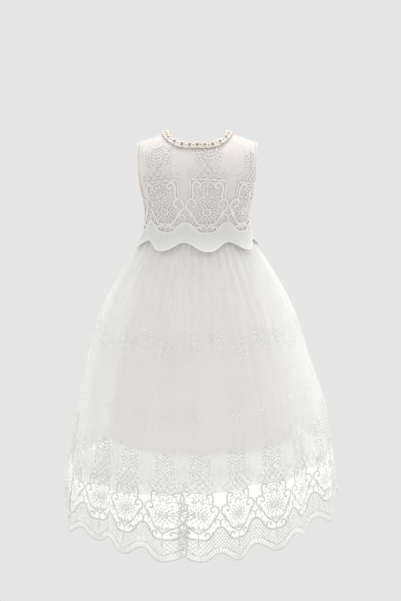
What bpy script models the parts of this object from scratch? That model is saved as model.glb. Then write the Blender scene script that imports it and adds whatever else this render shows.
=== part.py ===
"""A baby's christening gown in its worn form, hollow: metres, +Z up, the front faces -Y.

The origin is where the wearer's shoulders hold the gown up, level with the foot of the neck.
A place on the cloth is (across, up). Across is an angle in radians round the body, 0 at centre
front and a quarter turn at the side of +X. Up is a distance along or above the cloth.
"""

import math
from collections import namedtuple

import bpy
from mathutils import Vector
from mathutils.geometry import delaunay_2d_cdt

MM = 0.001
QUARTER = math.pi / 2
TURN = math.tau

# Cloth
WALL = 1.2 * MM
SEAM_GAP = 0.3 * MM
LAYER = WALL + SEAM_GAP
PROBE = 0.2 * MM
PROBE_TURN = 0.002
SEARCH_STEPS = 24

# Heights of the gown
CHEST_Z = -0.095
SHOULDER_Z = -0.012
WAIST_Z = -0.148
HEM_Z = -0.607
PETTICOAT_HEM_Z = -0.504
PETTICOAT_TILT = 0.012
LINING_HEM_Z = -0.466

# Bodice: rise is the distance up the cloth from the waist seam
CHEST_RISE = CHEST_Z - WAIST_Z
SHOULDER_RISE = 0.120
SHOULDER_ROUNDNESS = 2.4
RIDGE_TOP = 0.0262
RIDGE_SLOPE = 0.38
RIDGE_SOFTNESS = 0.030
NECK_HALF_WIDTH = 0.0435
NECK_FRONT_DEPTH = 0.0528
NECK_BACK_DEPTH = 0.0545
NECK_SQUARENESS = 3.0

# Lace over-bodice
BODICE_REPEATS = 8
BODICE_MOTIF_TURN = math.radians(10)
LACE_DROP = 0.020
LACE_SCALLOP = 0.013
LACE_RIPPLE = 0.0012
SCALLOP_ROUNDNESS = 2.4

# Outer skirt of embroidered net
HEM_REPEATS = 22
HEM_SCALLOP = 0.014
HEM_SIDE_LIFT = 0.016
HEM_CORNER_LIFT = 0.004
HEM_TILT = 0.012
SWAY = 0.0055
SWAY_TOP_Z = -0.310
SWAY_END_Z = -0.430
EVEN_OUT = 0.0495
GATHERS = 44
MOTIF_PITCH = 58.0
HEM_SLANT = 0.985

# Beaded neck trim
TRIM_WIDTH = 0.0090
TRIM_STONES = 27
STONE_RADIUS = 0.0045
STONE_RISE = 0.0020
STONE_PITCH = 0.0126
TRIM_STEPS = 4
TRIM_ROWS = 4

# Buttons of the centre-back opening
BUTTONS = 5
BUTTON_RADIUS = 0.0042
BUTTON_THICKNESS = 0.0024
BUTTON_SETBACK = 0.0075
BUTTON_TOP_RISE = 0.0990
BUTTON_SPACING = 0.0230
BUTTON_SIDES = 14
BUTTON_SEAT = 0.0006
ButtonRing = namedtuple("ButtonRing", "radius height")
BUTTON_RINGS = (
    ButtonRing(0.80 * BUTTON_RADIUS, 0.0),
    ButtonRing(1.00 * BUTTON_RADIUS, 0.35 * BUTTON_THICKNESS),
    ButtonRing(0.92 * BUTTON_RADIUS, 0.75 * BUTTON_THICKNESS),
    ButtonRing(0.55 * BUTTON_RADIUS, BUTTON_THICKNESS),
)

BodiceSection = namedtuple("BodiceSection", "height half_width half_depth squareness")
BODICE_SECTIONS = (
    BodiceSection(-0.170, 0.0805, 0.0680, 2.0),
    BodiceSection(-0.148, 0.0805, 0.0680, 2.0),
    BodiceSection(-0.128, 0.0800, 0.0695, 2.1),
    BodiceSection(-0.107, 0.0805, 0.0715, 2.3),
    BodiceSection(-0.085, 0.0858, 0.0730, 2.7),
    BodiceSection(-0.060, 0.0900, 0.0735, 3.0),
    BodiceSection(-0.012, 0.0915, 0.0735, 3.3),
)
SIDE = QUARTER - SEAM_GAP / 2 / BODICE_SECTIONS[0].half_width
BACK_OPENING = SEAM_GAP / 2 / NECK_BACK_DEPTH

ArmholePoint = namedtuple("ArmholePoint", "rise angle")
ARMHOLE = (
    ArmholePoint(0.0410, 90.0),
    ArmholePoint(0.0440, 81.0),
    ArmholePoint(0.0540, 72.5),
    ArmholePoint(0.0720, 67.0),
    ArmholePoint(0.0950, 64.5),
    ArmholePoint(0.1200, 64.5),
    ArmholePoint(0.1450, 66.0),
    ArmholePoint(0.1730, 69.0),
)

LaceLift = namedtuple("LaceLift", "rise lift")
LACE_LIFTS = (
    LaceLift(-0.0220, 0.0165),
    LaceLift(-0.0200, 0.0155),
    LaceLift(-0.0135, 0.0115),
    LaceLift(-0.0070, 0.0072),
    LaceLift(0.0000, 0.0040),
    LaceLift(0.0100, 0.0020),
    LaceLift(0.0200, 0.0015),
    LaceLift(0.1800, 0.0015),
)

SkirtRing = namedtuple("SkirtRing", "height half_width half_depth")
NET_RINGS = (
    SkirtRing(-0.148, 0.0816, 0.0691),
    SkirtRing(-0.155, 0.0845, 0.0716),
    SkirtRing(-0.1615, 0.0872, 0.0740),
    SkirtRing(-0.168, 0.0915, 0.0776),
    SkirtRing(-0.180, 0.1003, 0.0850),
    SkirtRing(-0.218, 0.1235, 0.1035),
    SkirtRing(-0.256, 0.1445, 0.1195),
    SkirtRing(-0.295, 0.1600, 0.1320),
    SkirtRing(-0.333, 0.1715, 0.1420),
    SkirtRing(-0.373, 0.1835, 0.1520),
    SkirtRing(-0.412, 0.1950, 0.1610),
    SkirtRing(-0.452, 0.2020, 0.1680),
    SkirtRing(-0.502, 0.2090, 0.1755),
    SkirtRing(-0.553, 0.2160, 0.1810),
    SkirtRing(-0.610, 0.2225, 0.1860),
)
PETTICOAT_RINGS = (
    SkirtRing(-0.148, 0.0799, 0.0674),
    SkirtRing(-0.155, 0.0822, 0.0694),
    SkirtRing(-0.168, 0.0880, 0.0745),
    SkirtRing(-0.180, 0.0950, 0.0802),
    SkirtRing(-0.218, 0.1150, 0.0955),
    SkirtRing(-0.256, 0.1330, 0.1085),
    SkirtRing(-0.295, 0.1470, 0.1190),
    SkirtRing(-0.373, 0.1680, 0.1350),
    SkirtRing(-0.452, 0.1830, 0.1470),
    SkirtRing(-0.518, 0.1930, 0.1550),
)
LINING_RINGS = (
    SkirtRing(-0.148, 0.0775, 0.0650),
    SkirtRing(-0.168, 0.0815, 0.0690),
    SkirtRing(-0.218, 0.0945, 0.0790),
    SkirtRing(-0.295, 0.1120, 0.0930),
    SkirtRing(-0.373, 0.1290, 0.1080),
    SkirtRing(-0.466, 0.1490, 0.1250),
)

# Largest folds of the skirt. Angles are in degrees round the body, and depths in mm, out of the
# cloth for a ridge and into it for a trough. A fold grows from its top height down to the hem.
Fold = namedtuple("Fold", "angle half_width depth top")
FOLDS = (
    Fold(-81, 6.5, -7, -0.240),
    Fold(-63, 6.0, 8, -0.260),
    Fold(-47, 5.0, -9, -0.220),
    Fold(-33, 7.0, 6, -0.250),
    Fold(-17, 6.0, 4, -0.330),
    Fold(-5.5, 4.2, -10, -0.300),
    Fold(8, 6.5, 5, -0.280),
    Fold(23, 5.0, -7, -0.260),
    Fold(38, 6.5, 7, -0.240),
    Fold(53, 5.5, -8, -0.250),
    Fold(67, 6.0, 6, -0.230),
    Fold(81, 5.5, -6, -0.270),
    Fold(97, 6.5, 7, -0.240),
    Fold(114, 6.0, -8, -0.250),
    Fold(131, 7.0, 6, -0.260),
    Fold(148, 5.0, -8, -0.230),
    Fold(163, 6.0, 7, -0.250),
    Fold(179, 5.5, -7, -0.280),
    Fold(195, 6.5, 7, -0.240),
    Fold(212, 5.5, -8, -0.260),
    Fold(229, 7.0, 6, -0.250),
    Fold(246, 5.5, -7, -0.240),
    Fold(262, 6.0, 7, -0.250),
)

FOLD_REACH = 3

# Gathers of the waist: how far each wave stands from the ring, at these heights
GatherDepth = namedtuple("GatherDepth", "height depth")
GATHER_DEPTHS = (
    GatherDepth(-0.148, 0.0008),
    GatherDepth(-0.155, 0.0011),
    GatherDepth(-0.168, 0.0016),
    GatherDepth(-0.200, 0.0025),
    GatherDepth(-0.240, 0.0024),
    GatherDepth(-0.285, 0.0012),
    GatherDepth(-0.330, 0.0000),
)
# and how far the waves drift from an even spacing, in radians
GatherDrift = namedtuple("GatherDrift", "times amount start")
GATHER_DRIFTS = (
    GatherDrift(5, 0.012, 1.0),
    GatherDrift(9, 0.007, 2.1),
)

# Gaps of the hem lace, in mm from the middle of a motif and above the tip of its scallop
BETWEEN_MOTIFS = (
    (29.0, 73.0), (33.0, 84.0), (37.0, 97.0), (37.0, 110.0),
    (29.0, 118.0), (21.0, 110.0), (21.0, 97.0), (25.0, 84.0),
)
CARTOUCHE_ARCH = ((-8.5, 84.0), (8.5, 84.0), (9.5, 93.0), (4.5, 99.5), (-4.5, 99.5), (-9.5, 93.0))
BESIDE_POINT = ((4.5, 29.0), (13.0, 33.0), (20.5, 41.0), (25.5, 54.0), (18.5, 50.0), (10.5, 40.0))

# How finely the walls follow the cloth. A flat pattern's radius turns angles into metres, and
# points inside it keep its clearance from the edges.
BODICE_RADIUS = 0.080
BODICE_CLEARANCE = 0.0055
BODICE_RISES = (0.020, 0.041, 0.062, 0.083, 0.104, 0.125, 0.146, 0.162)
NECK_CLEARANCE = 0.006
FRONT_COLUMNS = 16
BACK_COLUMNS = 8
NECK_STEPS = 6
SHOULDER_STEPS = 3
SCALLOP_STEPS = 6
SKIRT_RADIUS = 0.150
SKIRT_CLEARANCE = 0.0032
HEM_CLEARANCE = 0.008
NET_GATHER_PHASES = (0.125, 0.375, 0.625, 0.875)
NET_GATHER_ROWS = (-0.165, -0.190, -0.235)
NET_FOLD_ROWS = (-0.285, -0.330, -0.380, -0.430, -0.475, -0.592)
NET_COLUMNS = 44
PETTICOAT_PHASES = (0.0, 0.5)
PETTICOAT_GATHER_ROWS = (-0.165, -0.190, -0.235)
PETTICOAT_FOLD_ROWS = (-0.300, -0.370, -0.440)
PETTICOAT_COLUMNS = 24
LINING_ROWS = (-0.180, -0.240, -0.320, -0.395)
LINING_COLUMNS = 16


def between(table, height):
    """Values of a table's other columns at this height or rise, smoothly from row to row."""
    rows = sorted(table)
    height = min(max(height, rows[0][0]), rows[-1][0])
    last = len(rows) - 1
    low = max(i for i in range(last) if rows[i][0] <= height or i == 0)
    lower, upper = rows[low], rows[low + 1]
    span = upper[0] - lower[0]
    t = (height - lower[0]) / span
    values = []
    for column in range(1, len(lower)):
        chord = (upper[column] - lower[column]) / span
        slopes = []
        for row in (low, low + 1):
            if 0 < row < last:
                before = (rows[row][column] - rows[row - 1][column]) / (rows[row][0] - rows[row - 1][0])
                after = (rows[row + 1][column] - rows[row][column]) / (rows[row + 1][0] - rows[row][0])
                slopes.append(2 * before * after / (before + after) if before * after > 0 else 0.0)
            else:
                slopes.append(chord)
        h00 = (1 + 2 * t) * (1 - t) ** 2
        h10 = t * (1 - t) ** 2
        h01 = t * t * (3 - 2 * t)
        h11 = t * t * (t - 1)
        value = h00 * lower[column] + h01 * upper[column]
        values.append(value + span * (h10 * slopes[0] + h11 * slopes[1]))
    return values


def smooth_step(value):
    value = min(max(value, 0.0), 1.0)
    return value * value * (3 - 2 * value)


def rounded(angle, squareness):
    """Across and out from the centre of a rounded square of half width 1, in this direction."""
    across, out = math.sin(angle), math.cos(angle)
    reach = (abs(across) ** squareness + abs(out) ** squareness) ** (-1 / squareness)
    return across * reach, out * reach


def other_side(share, squareness):
    """The other coordinate of the rounded square's point whose first coordinate is share."""
    return max(1 - abs(share) ** squareness, 0.0) ** (1 / squareness)


# ---------------------------------------------------------------- forms of the cloth


def shoulder_ridge(x):
    """Height of the shoulder line over the neck and down to the arm."""
    return RIDGE_TOP - RIDGE_SLOPE * math.hypot(x, RIDGE_SOFTNESS)


def section_at(up):
    """Half width, half depth and squareness of the bodice at this share of the shoulder's rise."""
    return between(BODICE_SECTIONS, CHEST_Z + (SHOULDER_Z - CHEST_Z) * up)


def bodice_form(across, rise):
    """Middle of the bodice lining. Above the chest, front and back lean in to meet on the shoulder."""
    if rise <= CHEST_RISE:
        half_width, half_depth, squareness = between(BODICE_SECTIONS, WAIST_Z + rise)
        x, y = rounded(across, squareness)
        return Vector((half_width * x, -half_depth * y, WAIST_Z + rise))
    up, out = rounded((rise - CHEST_RISE) / SHOULDER_RISE * QUARTER, SHOULDER_ROUNDNESS)
    half_width, half_depth, squareness = section_at(up)
    x, y = rounded(across, squareness)
    x *= half_width
    z = CHEST_Z + (shoulder_ridge(x) - CHEST_Z) * up
    return Vector((x, -half_depth * y * out, z))


def place_on_yoke(x, depth, side):
    """The bodice's (across, rise) at this x and this distance from the shoulder line.
    side is 1 in front and -1 behind."""
    up = 1.0
    for _ in range(SEARCH_STEPS):
        half_width, half_depth, squareness = section_at(up)
        share = x / half_width
        reach = other_side(share, squareness)
        out = min(depth / (half_depth * reach), 1.0)
        up = other_side(out, SHOULDER_ROUNDNESS)
    across = math.atan2(share, side * reach)
    rise = CHEST_RISE + math.atan2(up, out) / QUARTER * SHOULDER_RISE
    return across % TURN if side < 0 else across, rise


def outward(form, across, up):
    """Unit normal of a form, away from the body."""
    along = form(across + PROBE_TURN, up) - form(across - PROBE_TURN, up)
    rising = form(across, up + PROBE) - form(across, up - PROBE)
    return along.cross(rising).normalized()


def lace_form(across, rise):
    """Middle of the lace over-bodice, which flares over the gathers below the waist."""
    (lift,) = between(LACE_LIFTS, rise)
    below = smooth_step(-rise / LACE_DROP)
    ripple = LACE_RIPPLE * below * math.cos(BODICE_REPEATS * (across - BODICE_MOTIF_TURN))
    base = bodice_form(across, rise)
    return base + outward(bodice_form, across, rise) * (lift + ripple)


def even_angle(across):
    """Ellipse parameter that spaces cloth evenly round the skirt's oval rings."""
    return across - EVEN_OUT * math.sin(2 * across)


def gather_wave(across):
    """Phase of the gathers, which aren't quite even round the waist."""
    drift = sum(d.amount * math.sin(d.times * across + d.start) for d in GATHER_DRIFTS)
    return GATHERS * (across + drift)


def fold_depth(across, height):
    """How far the large folds move the cloth out at this place."""
    moved = 0.0
    for fold in FOLDS:
        away = (math.degrees(across) - fold.angle + 180) % 360 - 180
        if abs(away) < FOLD_REACH * fold.half_width:
            growth = smooth_step((fold.top - height) / (fold.top - HEM_Z))
            moved += fold.depth * MM * growth * math.exp(-((away / fold.half_width) ** 2))
    return moved


def skirt_form(rings, gathered, folded):
    """A form of (across, height) for one layer of the skirt. gathered and folded are the shares
    of the waist's gathers and of the large folds that the layer has."""

    def form(across, height):
        half_width, half_depth = between(rings, height)
        (depth,) = between(GATHER_DEPTHS, height)
        moved = gathered * depth * math.cos(gather_wave(across))
        moved += folded * fold_depth(across, height)
        turn = even_angle(across)
        sway = SWAY * smooth_step((SWAY_TOP_Z - height) / (SWAY_TOP_Z - SWAY_END_Z))
        x = (half_width + moved) * math.sin(turn) + sway
        y = (half_depth + moved) * math.cos(turn)
        return Vector((x, -y, height))

    return form


net_form = skirt_form(NET_RINGS, 1.0, 1.0)
petticoat_form = skirt_form(PETTICOAT_RINGS, 0.9, 0.7)
lining_form = skirt_form(LINING_RINGS, 0.0, 0.25)


# ---------------------------------------------------------------- walls from flat patterns


def material_of(name, colour, roughness, metallic=0.0):
    material = bpy.data.materials.new(name)
    material.use_nodes = True
    shader = material.node_tree.nodes["Principled BSDF"]
    shader.inputs["Base Color"].default_value = (*colour, 1.0)
    shader.inputs["Roughness"].default_value = roughness
    shader.inputs["Metallic"].default_value = metallic
    return material


def add_object(name, vertices, faces, material):
    mesh = bpy.data.meshes.new(name)
    mesh.from_pydata([tuple(vertex) for vertex in vertices], [], faces)
    mesh.materials.append(material)
    mesh.shade_smooth()
    mesh.set_sharp_from_angle(angle=math.radians(50))
    piece = bpy.data.objects.new(name, mesh)
    bpy.context.scene.collection.objects.link(piece)
    return piece


def inside(point, loop):
    """Whether a flat point is inside a closed loop."""
    x, y = point
    crossings = 0
    for (x0, y0), (x1, y1) in zip(loop, loop[1:] + loop[:1]):
        if (y0 > y) != (y1 > y) and x < x0 + (y - y0) / (y1 - y0) * (x1 - x0):
            crossings += 1
    return crossings % 2 == 1


def distance_to_loop(point, loop):
    x, y = point
    nearest = math.inf
    for (x0, y0), (x1, y1) in zip(loop, loop[1:] + loop[:1]):
        dx, dy = x1 - x0, y1 - y0
        share = ((x - x0) * dx + (y - y0) * dy) / max(dx * dx + dy * dy, 1e-18)
        share = min(max(share, 0.0), 1.0)
        nearest = min(nearest, math.hypot(x - x0 - share * dx, y - y0 - share * dy))
    return nearest


def cut_pattern(outline, gaps, inner, radius, clearance):
    """Flat points and triangles of a pattern piece with gaps. radius turns across into metres,
    and inner points nearer than the clearance to an edge are left out."""

    def flat(place):
        return place[0] * radius, place[1]

    edge = [flat(place) for place in outline]
    holes = [[flat(place) for place in gap] for gap in gaps]
    loops = [edge, *holes]
    points = [point for loop in loops for point in loop]
    places = list(outline) + [place for gap in gaps for place in gap]
    sides = []
    for loop in loops:
        start = len(sides)
        sides += [(start + i, start + (i + 1) % len(loop)) for i in range(len(loop))]
    for place in inner:
        point = flat(place)
        if not inside(point, edge) or any(inside(point, hole) for hole in holes):
            continue
        if min(distance_to_loop(point, loop) for loop in loops) < clearance:
            continue
        points.append(point)
        places.append(place)
    vertices, _, triangles, origins, *_ = delaunay_2d_cdt([Vector(p) for p in points], sides, [], 0, 1e-9)
    places = [places[from_[0]] if from_ else (v.x / radius, v.y) for v, from_ in zip(vertices, origins)]
    kept = []
    for triangle in triangles:
        corners = [vertices[i] for i in triangle]
        middle = sum(corners, Vector((0.0, 0.0))) / 3
        if inside(middle, edge) and not any(inside(middle, hole) for hole in holes):
            kept.append(tuple(triangle))
    return places, kept


def wall_between(name, form, places, triangles, material):
    """A closed wall whose middle is the form at these places."""
    middles = [form(*place) for place in places]
    normals = [outward(form, *place) for place in places]
    outer = [m + n * (WALL / 2) for m, n in zip(middles, normals)]
    inner = [m - n * (WALL / 2) for m, n in zip(middles, normals)]
    count = len(places)
    faces = [tuple(t) for t in triangles]
    faces += [tuple(i + count for i in reversed(t)) for t in triangles]
    sides = {(t[i], t[(i + 1) % 3]) for t in triangles for i in range(3)}
    for start, end in sorted(sides):
        if (end, start) not in sides:
            faces.append((end, start, start + count, end + count))
    return add_object(name, outer + inner, faces, material)


def steps(first, last, count):
    """count + 1 values from first to last."""
    return [first + (last - first) * i / count for i in range(count + 1)]


def scallop(share):
    """Height of a scalloped edge over its tips, 0 to 1, at this share of a repeat from a tip."""
    away = abs((share + 0.5) % 1.0 - 0.5) * 2
    return math.sin(away * QUARTER) ** SCALLOP_ROUNDNESS


# ---------------------------------------------------------------- bodice


def front_right(angle):
    return angle


def front_left(angle):
    return -angle


def back_left(angle):
    return math.pi - angle


def back_right(angle):
    return math.pi + angle


def neck_place(turn, side):
    """Place on the bodice at this angle round the edge of the neck. side is 1 in front, -1 behind."""
    depth = NECK_FRONT_DEPTH if side > 0 else NECK_BACK_DEPTH
    across, out = rounded(turn, NECK_SQUARENESS)
    return place_on_yoke(NECK_HALF_WIDTH * across, max(depth * abs(out), SEAM_GAP / 2), side)


def shoulder_rise(across):
    """Rise of the shoulder seam, half a seam gap short of the shoulder line."""
    _, half_depth, squareness = section_at(1.0)
    _, y = rounded(across, squareness)
    out = SEAM_GAP / 2 / abs(half_depth * y)
    return CHEST_RISE + math.atan2(other_side(out, SHOULDER_ROUNDNESS), out) / QUARTER * SHOULDER_RISE


def quarter_edge(quarter):
    """Places of one quarter of the bodice, up the side seam, round the armhole and the neck."""
    edge = [(quarter(SIDE), rise) for rise in (BODICE_RISES[0], ARMHOLE[0].rise)]
    edge += [(quarter(math.radians(point.angle)), point.rise) for point in ARMHOLE[1:-1]]
    tip = math.radians(ARMHOLE[-1].angle)
    neck = neck_place(QUARTER, 1)[0]
    edge += [(quarter(a), shoulder_rise(a)) for a in steps(tip, neck, SHOULDER_STEPS)[:-1]]
    side = 1 if quarter in (front_right, front_left) else -1
    edge += [neck_place(quarter(turn), side) for turn in steps(QUARTER, 0.0, NECK_STEPS)[:-1]]
    return edge


def opening_edge(across):
    """Places up one side of the centre-back opening, to the neck."""
    neck_rise = neck_place(across, -1)[1]
    edge = [(across, rise) for rise in BODICE_RISES if rise < neck_rise - NECK_CLEARANCE]
    return edge + [(across, neck_rise)]


def bodice_pattern(part):
    """Places and triangles of a bodice piece above the waist seam, and its columns at the seam."""
    if part == "front":
        columns = steps(-SIDE, SIDE, FRONT_COLUMNS)
        centre = [neck_place(0.0, 1)]
        upper = quarter_edge(front_right) + centre + quarter_edge(front_left)[::-1]
    elif part == "back_left":
        columns = steps(back_left(SIDE), math.pi - BACK_OPENING, BACK_COLUMNS)
        centre = opening_edge(columns[-1])
        upper = centre + quarter_edge(back_left)[::-1]
    else:
        columns = steps(math.pi + BACK_OPENING, back_right(SIDE), BACK_COLUMNS)
        centre = opening_edge(columns[0])
        upper = quarter_edge(back_right) + centre[::-1]
    outline = [(across, 0.0) for across in columns] + upper
    inner = [(across, rise) for rise in BODICE_RISES for across in columns[1:-1]]
    places, triangles = cut_pattern(outline, [], inner, BODICE_RADIUS, BODICE_CLEARANCE)
    return places, triangles, columns


def lace_edge_rise(across):
    """Rise of the free lower edge of the lace, below the waist seam."""
    share = BODICE_REPEATS * (across - BODICE_MOTIF_TURN) / TURN
    return LACE_SCALLOP * scallop(share) - LACE_DROP


def with_free_edge(places, triangles, columns):
    """A bodice pattern with the lace's scalloped strip added below the waist seam."""
    count = round((columns[-1] - columns[0]) / TURN * BODICE_REPEATS * SCALLOP_STEPS)
    lower = [(across, lace_edge_rise(across)) for across in steps(columns[0], columns[-1], count)]
    outline = lower + [(across, 0.0) for across in reversed(columns)]
    strip, more = cut_pattern(outline, [], [], BODICE_RADIUS, BODICE_CLEARANCE)
    numbers = {place: i for i, place in enumerate(places)}
    joined = list(places)
    for place in strip:
        if place not in numbers:
            numbers[place] = len(joined)
            joined.append(place)
    return joined, triangles + [tuple(numbers[strip[i]] for i in t) for t in more]


def build_bodice(lining_cloth, lace_cloth):
    for part in ("front", "back_left", "back_right"):
        places, triangles, columns = bodice_pattern(part)
        wall_between(f"bodice_lining_{part}", bodice_form, places, triangles, lining_cloth)
        places, triangles = with_free_edge(places, triangles, columns)
        wall_between(f"lace_bodice_{part}", lace_form, places, triangles, lace_cloth)


# ---------------------------------------------------------------- skirt


def gather_columns(phases, first, last):
    """Angles between these two at which the gathers are at the given shares of a wave."""
    columns = []
    for wave in range(-GATHERS, 2 * GATHERS):
        for phase in phases:
            target = (wave + phase) * TURN / GATHERS
            across = target
            for _ in range(SEARCH_STEPS):
                across += target - gather_wave(across) / GATHERS
            columns.append(across)
    spare = TURN / GATHERS / 5
    return [across for across in sorted(columns) if first + spare < across < last - spare]


def skirt_half(name, form, first, phases, gather_rows, fold_rows, fold_columns, hem, gaps, cloth):
    """Half of a skirt layer, from the side seam at angle first to the other one. Each gather row
    has a column at each phase of the gathers, and each fold row has fold_columns of them.
    hem gives the height of the lower edge at an angle, and how many steps it has."""
    seam = SEAM_GAP / 2 / NET_RINGS[0].half_width
    left, right = first + seam, first + math.pi - seam
    top = WAIST_Z - SEAM_GAP
    wide = steps(left, right, fold_columns)[1:-1]
    gathered = gather_columns(phases, left, right) if phases else wide
    hem_height, hem_steps = hem
    edge = [(across, hem_height(across)) for across in steps(left, right, hem_steps)]
    seam_rows = [z for z in (*gather_rows, *fold_rows) if z > edge[0][1] + HEM_CLEARANCE]
    outline = [(left, top)] + [(left, z) for z in seam_rows] + edge
    outline += [(right, z) for z in reversed(seam_rows)] + [(right, top)]
    outline += [(across, top) for across in reversed(gathered)]
    inner = [(across, z) for z in gather_rows for across in gathered]
    inner += [(across, z) for z in fold_rows for across in wide]
    places, triangles = cut_pattern(outline, gaps, inner, SKIRT_RADIUS, SKIRT_CLEARANCE)
    wall_between(name, form, places, triangles, cloth)


def hem_tips(across):
    """Height of the hem's scallop tips, which lift towards the sides, most on the wearer's left."""
    tips = HEM_Z + HEM_SIDE_LIFT * math.sin(across) ** 2 + HEM_CORNER_LIFT * math.sin(2 * across) ** 2
    return tips + HEM_TILT * math.sin(across) ** 3


def net_hem(across):
    """Height of the outer skirt's scalloped hem."""
    return hem_tips(across) + HEM_SCALLOP * scallop(HEM_REPEATS * across / TURN)


def petticoat_hem(across):
    """Height of the petticoat's hem, which hangs a little lower on one side."""
    return PETTICOAT_HEM_Z + PETTICOAT_TILT * math.sin(across)


def lace_place(motif, x, y):
    """Place on the net x mm from a motif's middle and y mm above the tip of its scallop."""
    across = motif + x / MOTIF_PITCH * TURN / HEM_REPEATS
    return across, hem_tips(across) + y * MM * HEM_SLANT


def lace_gaps(first):
    """Gaps of the hem lace in the half of the skirt that starts at this side seam."""
    repeat = TURN / HEM_REPEATS
    gaps = []
    for number in range(-HEM_REPEATS, 2 * HEM_REPEATS):
        motif = number * repeat
        if not first < motif < first + math.pi:
            continue
        shapes = [CARTOUCHE_ARCH, BESIDE_POINT, tuple((-x, y) for x, y in reversed(BESIDE_POINT))]
        if motif + repeat < first + math.pi:
            shapes.append(BETWEEN_MOTIFS)
        for shape in shapes:
            gaps.append([lace_place(motif, x, y) for x, y in shape])
    return gaps


def build_skirt(net_cloth, petticoat_cloth, lining_cloth):
    for half, first in (("front", -QUARTER), ("back", QUARTER)):
        skirt_half(
            f"skirt_{half}", net_form, first,
            NET_GATHER_PHASES, NET_GATHER_ROWS, NET_FOLD_ROWS, NET_COLUMNS,
            (net_hem, HEM_REPEATS // 2 * SCALLOP_STEPS), lace_gaps(first), net_cloth,
        )
        skirt_half(
            f"petticoat_{half}", petticoat_form, first,
            PETTICOAT_PHASES, PETTICOAT_GATHER_ROWS, PETTICOAT_FOLD_ROWS, PETTICOAT_COLUMNS,
            (petticoat_hem, PETTICOAT_COLUMNS), [], petticoat_cloth,
        )
        skirt_half(
            f"skirt_lining_{half}", lining_form, first,
            (), (), LINING_ROWS, LINING_COLUMNS,
            (lambda across: LINING_HEM_Z, LINING_COLUMNS), [], lining_cloth,
        )


# ---------------------------------------------------------------- neck trim and buttons


def yoke_frame(x, depth, side, lift):
    """Point this far outside the bodice lining's middle, and the normal there."""
    place = place_on_yoke(x, max(depth, SEAM_GAP / 10), side)
    normal = outward(bodice_form, *place)
    return bodice_form(*place) + normal * lift, normal


def trim_place(turn, width, lift):
    """Point on the neck trim at this angle round the neck, width from its upper edge along the
    cloth, and lift outside the lining."""
    side = 1 if math.cos(turn) >= 0 else -1
    edge_depth = NECK_FRONT_DEPTH if side > 0 else NECK_BACK_DEPTH
    across, out = rounded(turn, NECK_SQUARENESS)

    def at(past):
        return yoke_frame((NECK_HALF_WIDTH + past) * across, (edge_depth + past) * abs(out), side, lift)

    start = at(0.0)[0]
    near, far = 0.0, width * 1.2
    for _ in range(SEARCH_STEPS):
        middle = (near + far) / 2
        if (at(middle)[0] - start).length < width:
            near = middle
        else:
            far = middle
    return at(near)


def build_neck_trim(cloth):
    """Band on the neck edge from one side of the back opening round to the other, with a raised
    stone in each repeat over a plain inside."""
    columns = TRIM_STONES * TRIM_STEPS
    end = math.pi - BACK_OPENING
    widths = steps(0.0, TRIM_WIDTH, TRIM_ROWS)
    under = LAYER + WALL / 2 + SEAM_GAP
    vertices, faces = [], []
    for column, turn in enumerate(steps(-end, end, columns)):
        for width in widths:
            along = abs((column / TRIM_STEPS) % 1.0 - 0.5) * STONE_PITCH
            away = math.hypot(along, width - TRIM_WIDTH / 2) / STONE_RADIUS
            raised = STONE_RISE * max(0.0, 1 - away * away)
            point, _ = trim_place(turn, width, under + WALL + raised)
            vertices.append(point)
        for width in (widths[-1], widths[0]):
            vertices.append(trim_place(turn, width, under)[0])
    ring = len(widths) + 2
    for column in range(columns):
        for i in range(ring):
            a, b = column * ring + i, column * ring + (i + 1) % ring
            faces.append((a, b, b + ring, a + ring))
    faces.append(tuple(reversed(range(ring))))
    faces.append(tuple(columns * ring + i for i in range(ring)))
    add_object("neck_trim", vertices, faces, cloth)


def build_buttons(shell):
    """Round buttons down the wearer's left edge of the centre-back opening."""
    for number in range(BUTTONS):
        rise = BUTTON_TOP_RISE - number * BUTTON_SPACING
        across = math.pi - BUTTON_SETBACK / BODICE_SECTIONS[0].half_depth
        normal = outward(lace_form, across, rise)
        seat = lace_form(across, rise) + normal * (WALL / 2 + SEAM_GAP + BUTTON_SEAT)
        turn = normal.to_track_quat("Z", "Y")
        vertices = []
        for radius, height in BUTTON_RINGS:
            for i in range(BUTTON_SIDES):
                angle = TURN * i / BUTTON_SIDES
                spot = Vector((radius * math.cos(angle), radius * math.sin(angle), height))
                vertices.append(seat + turn @ spot)
        faces = [tuple(reversed(range(BUTTON_SIDES)))]
        for row in range(len(BUTTON_RINGS) - 1):
            for i in range(BUTTON_SIDES):
                j = (i + 1) % BUTTON_SIDES
                a, b = row * BUTTON_SIDES + i, row * BUTTON_SIDES + j
                faces.append((a, b, b + BUTTON_SIDES, a + BUTTON_SIDES))
        last = (len(BUTTON_RINGS) - 1) * BUTTON_SIDES
        faces.append(tuple(range(last, last + BUTTON_SIDES)))
        add_object(f"button_{number + 1}", vertices, faces, shell)


def main():
    for piece in list(bpy.data.objects):
        bpy.data.objects.remove(piece)
    lining_cloth = material_of("ivory_lining", (0.86, 0.82, 0.78), 0.55)
    lace_cloth = material_of("embroidered_net", (0.93, 0.92, 0.90), 0.75)
    net_cloth = material_of("skirt_net", (0.92, 0.92, 0.90), 0.75)
    petticoat_cloth = material_of("petticoat_net", (0.88, 0.90, 0.87), 0.75)
    trim_beads = material_of("bead_trim", (0.80, 0.77, 0.72), 0.30)
    button_shell = material_of("pearl_button", (0.90, 0.88, 0.84), 0.25)
    build_bodice(lining_cloth, lace_cloth)
    build_skirt(net_cloth, petticoat_cloth, lining_cloth)
    build_neck_trim(trim_beads)
    build_buttons(button_shell)


main()
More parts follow.
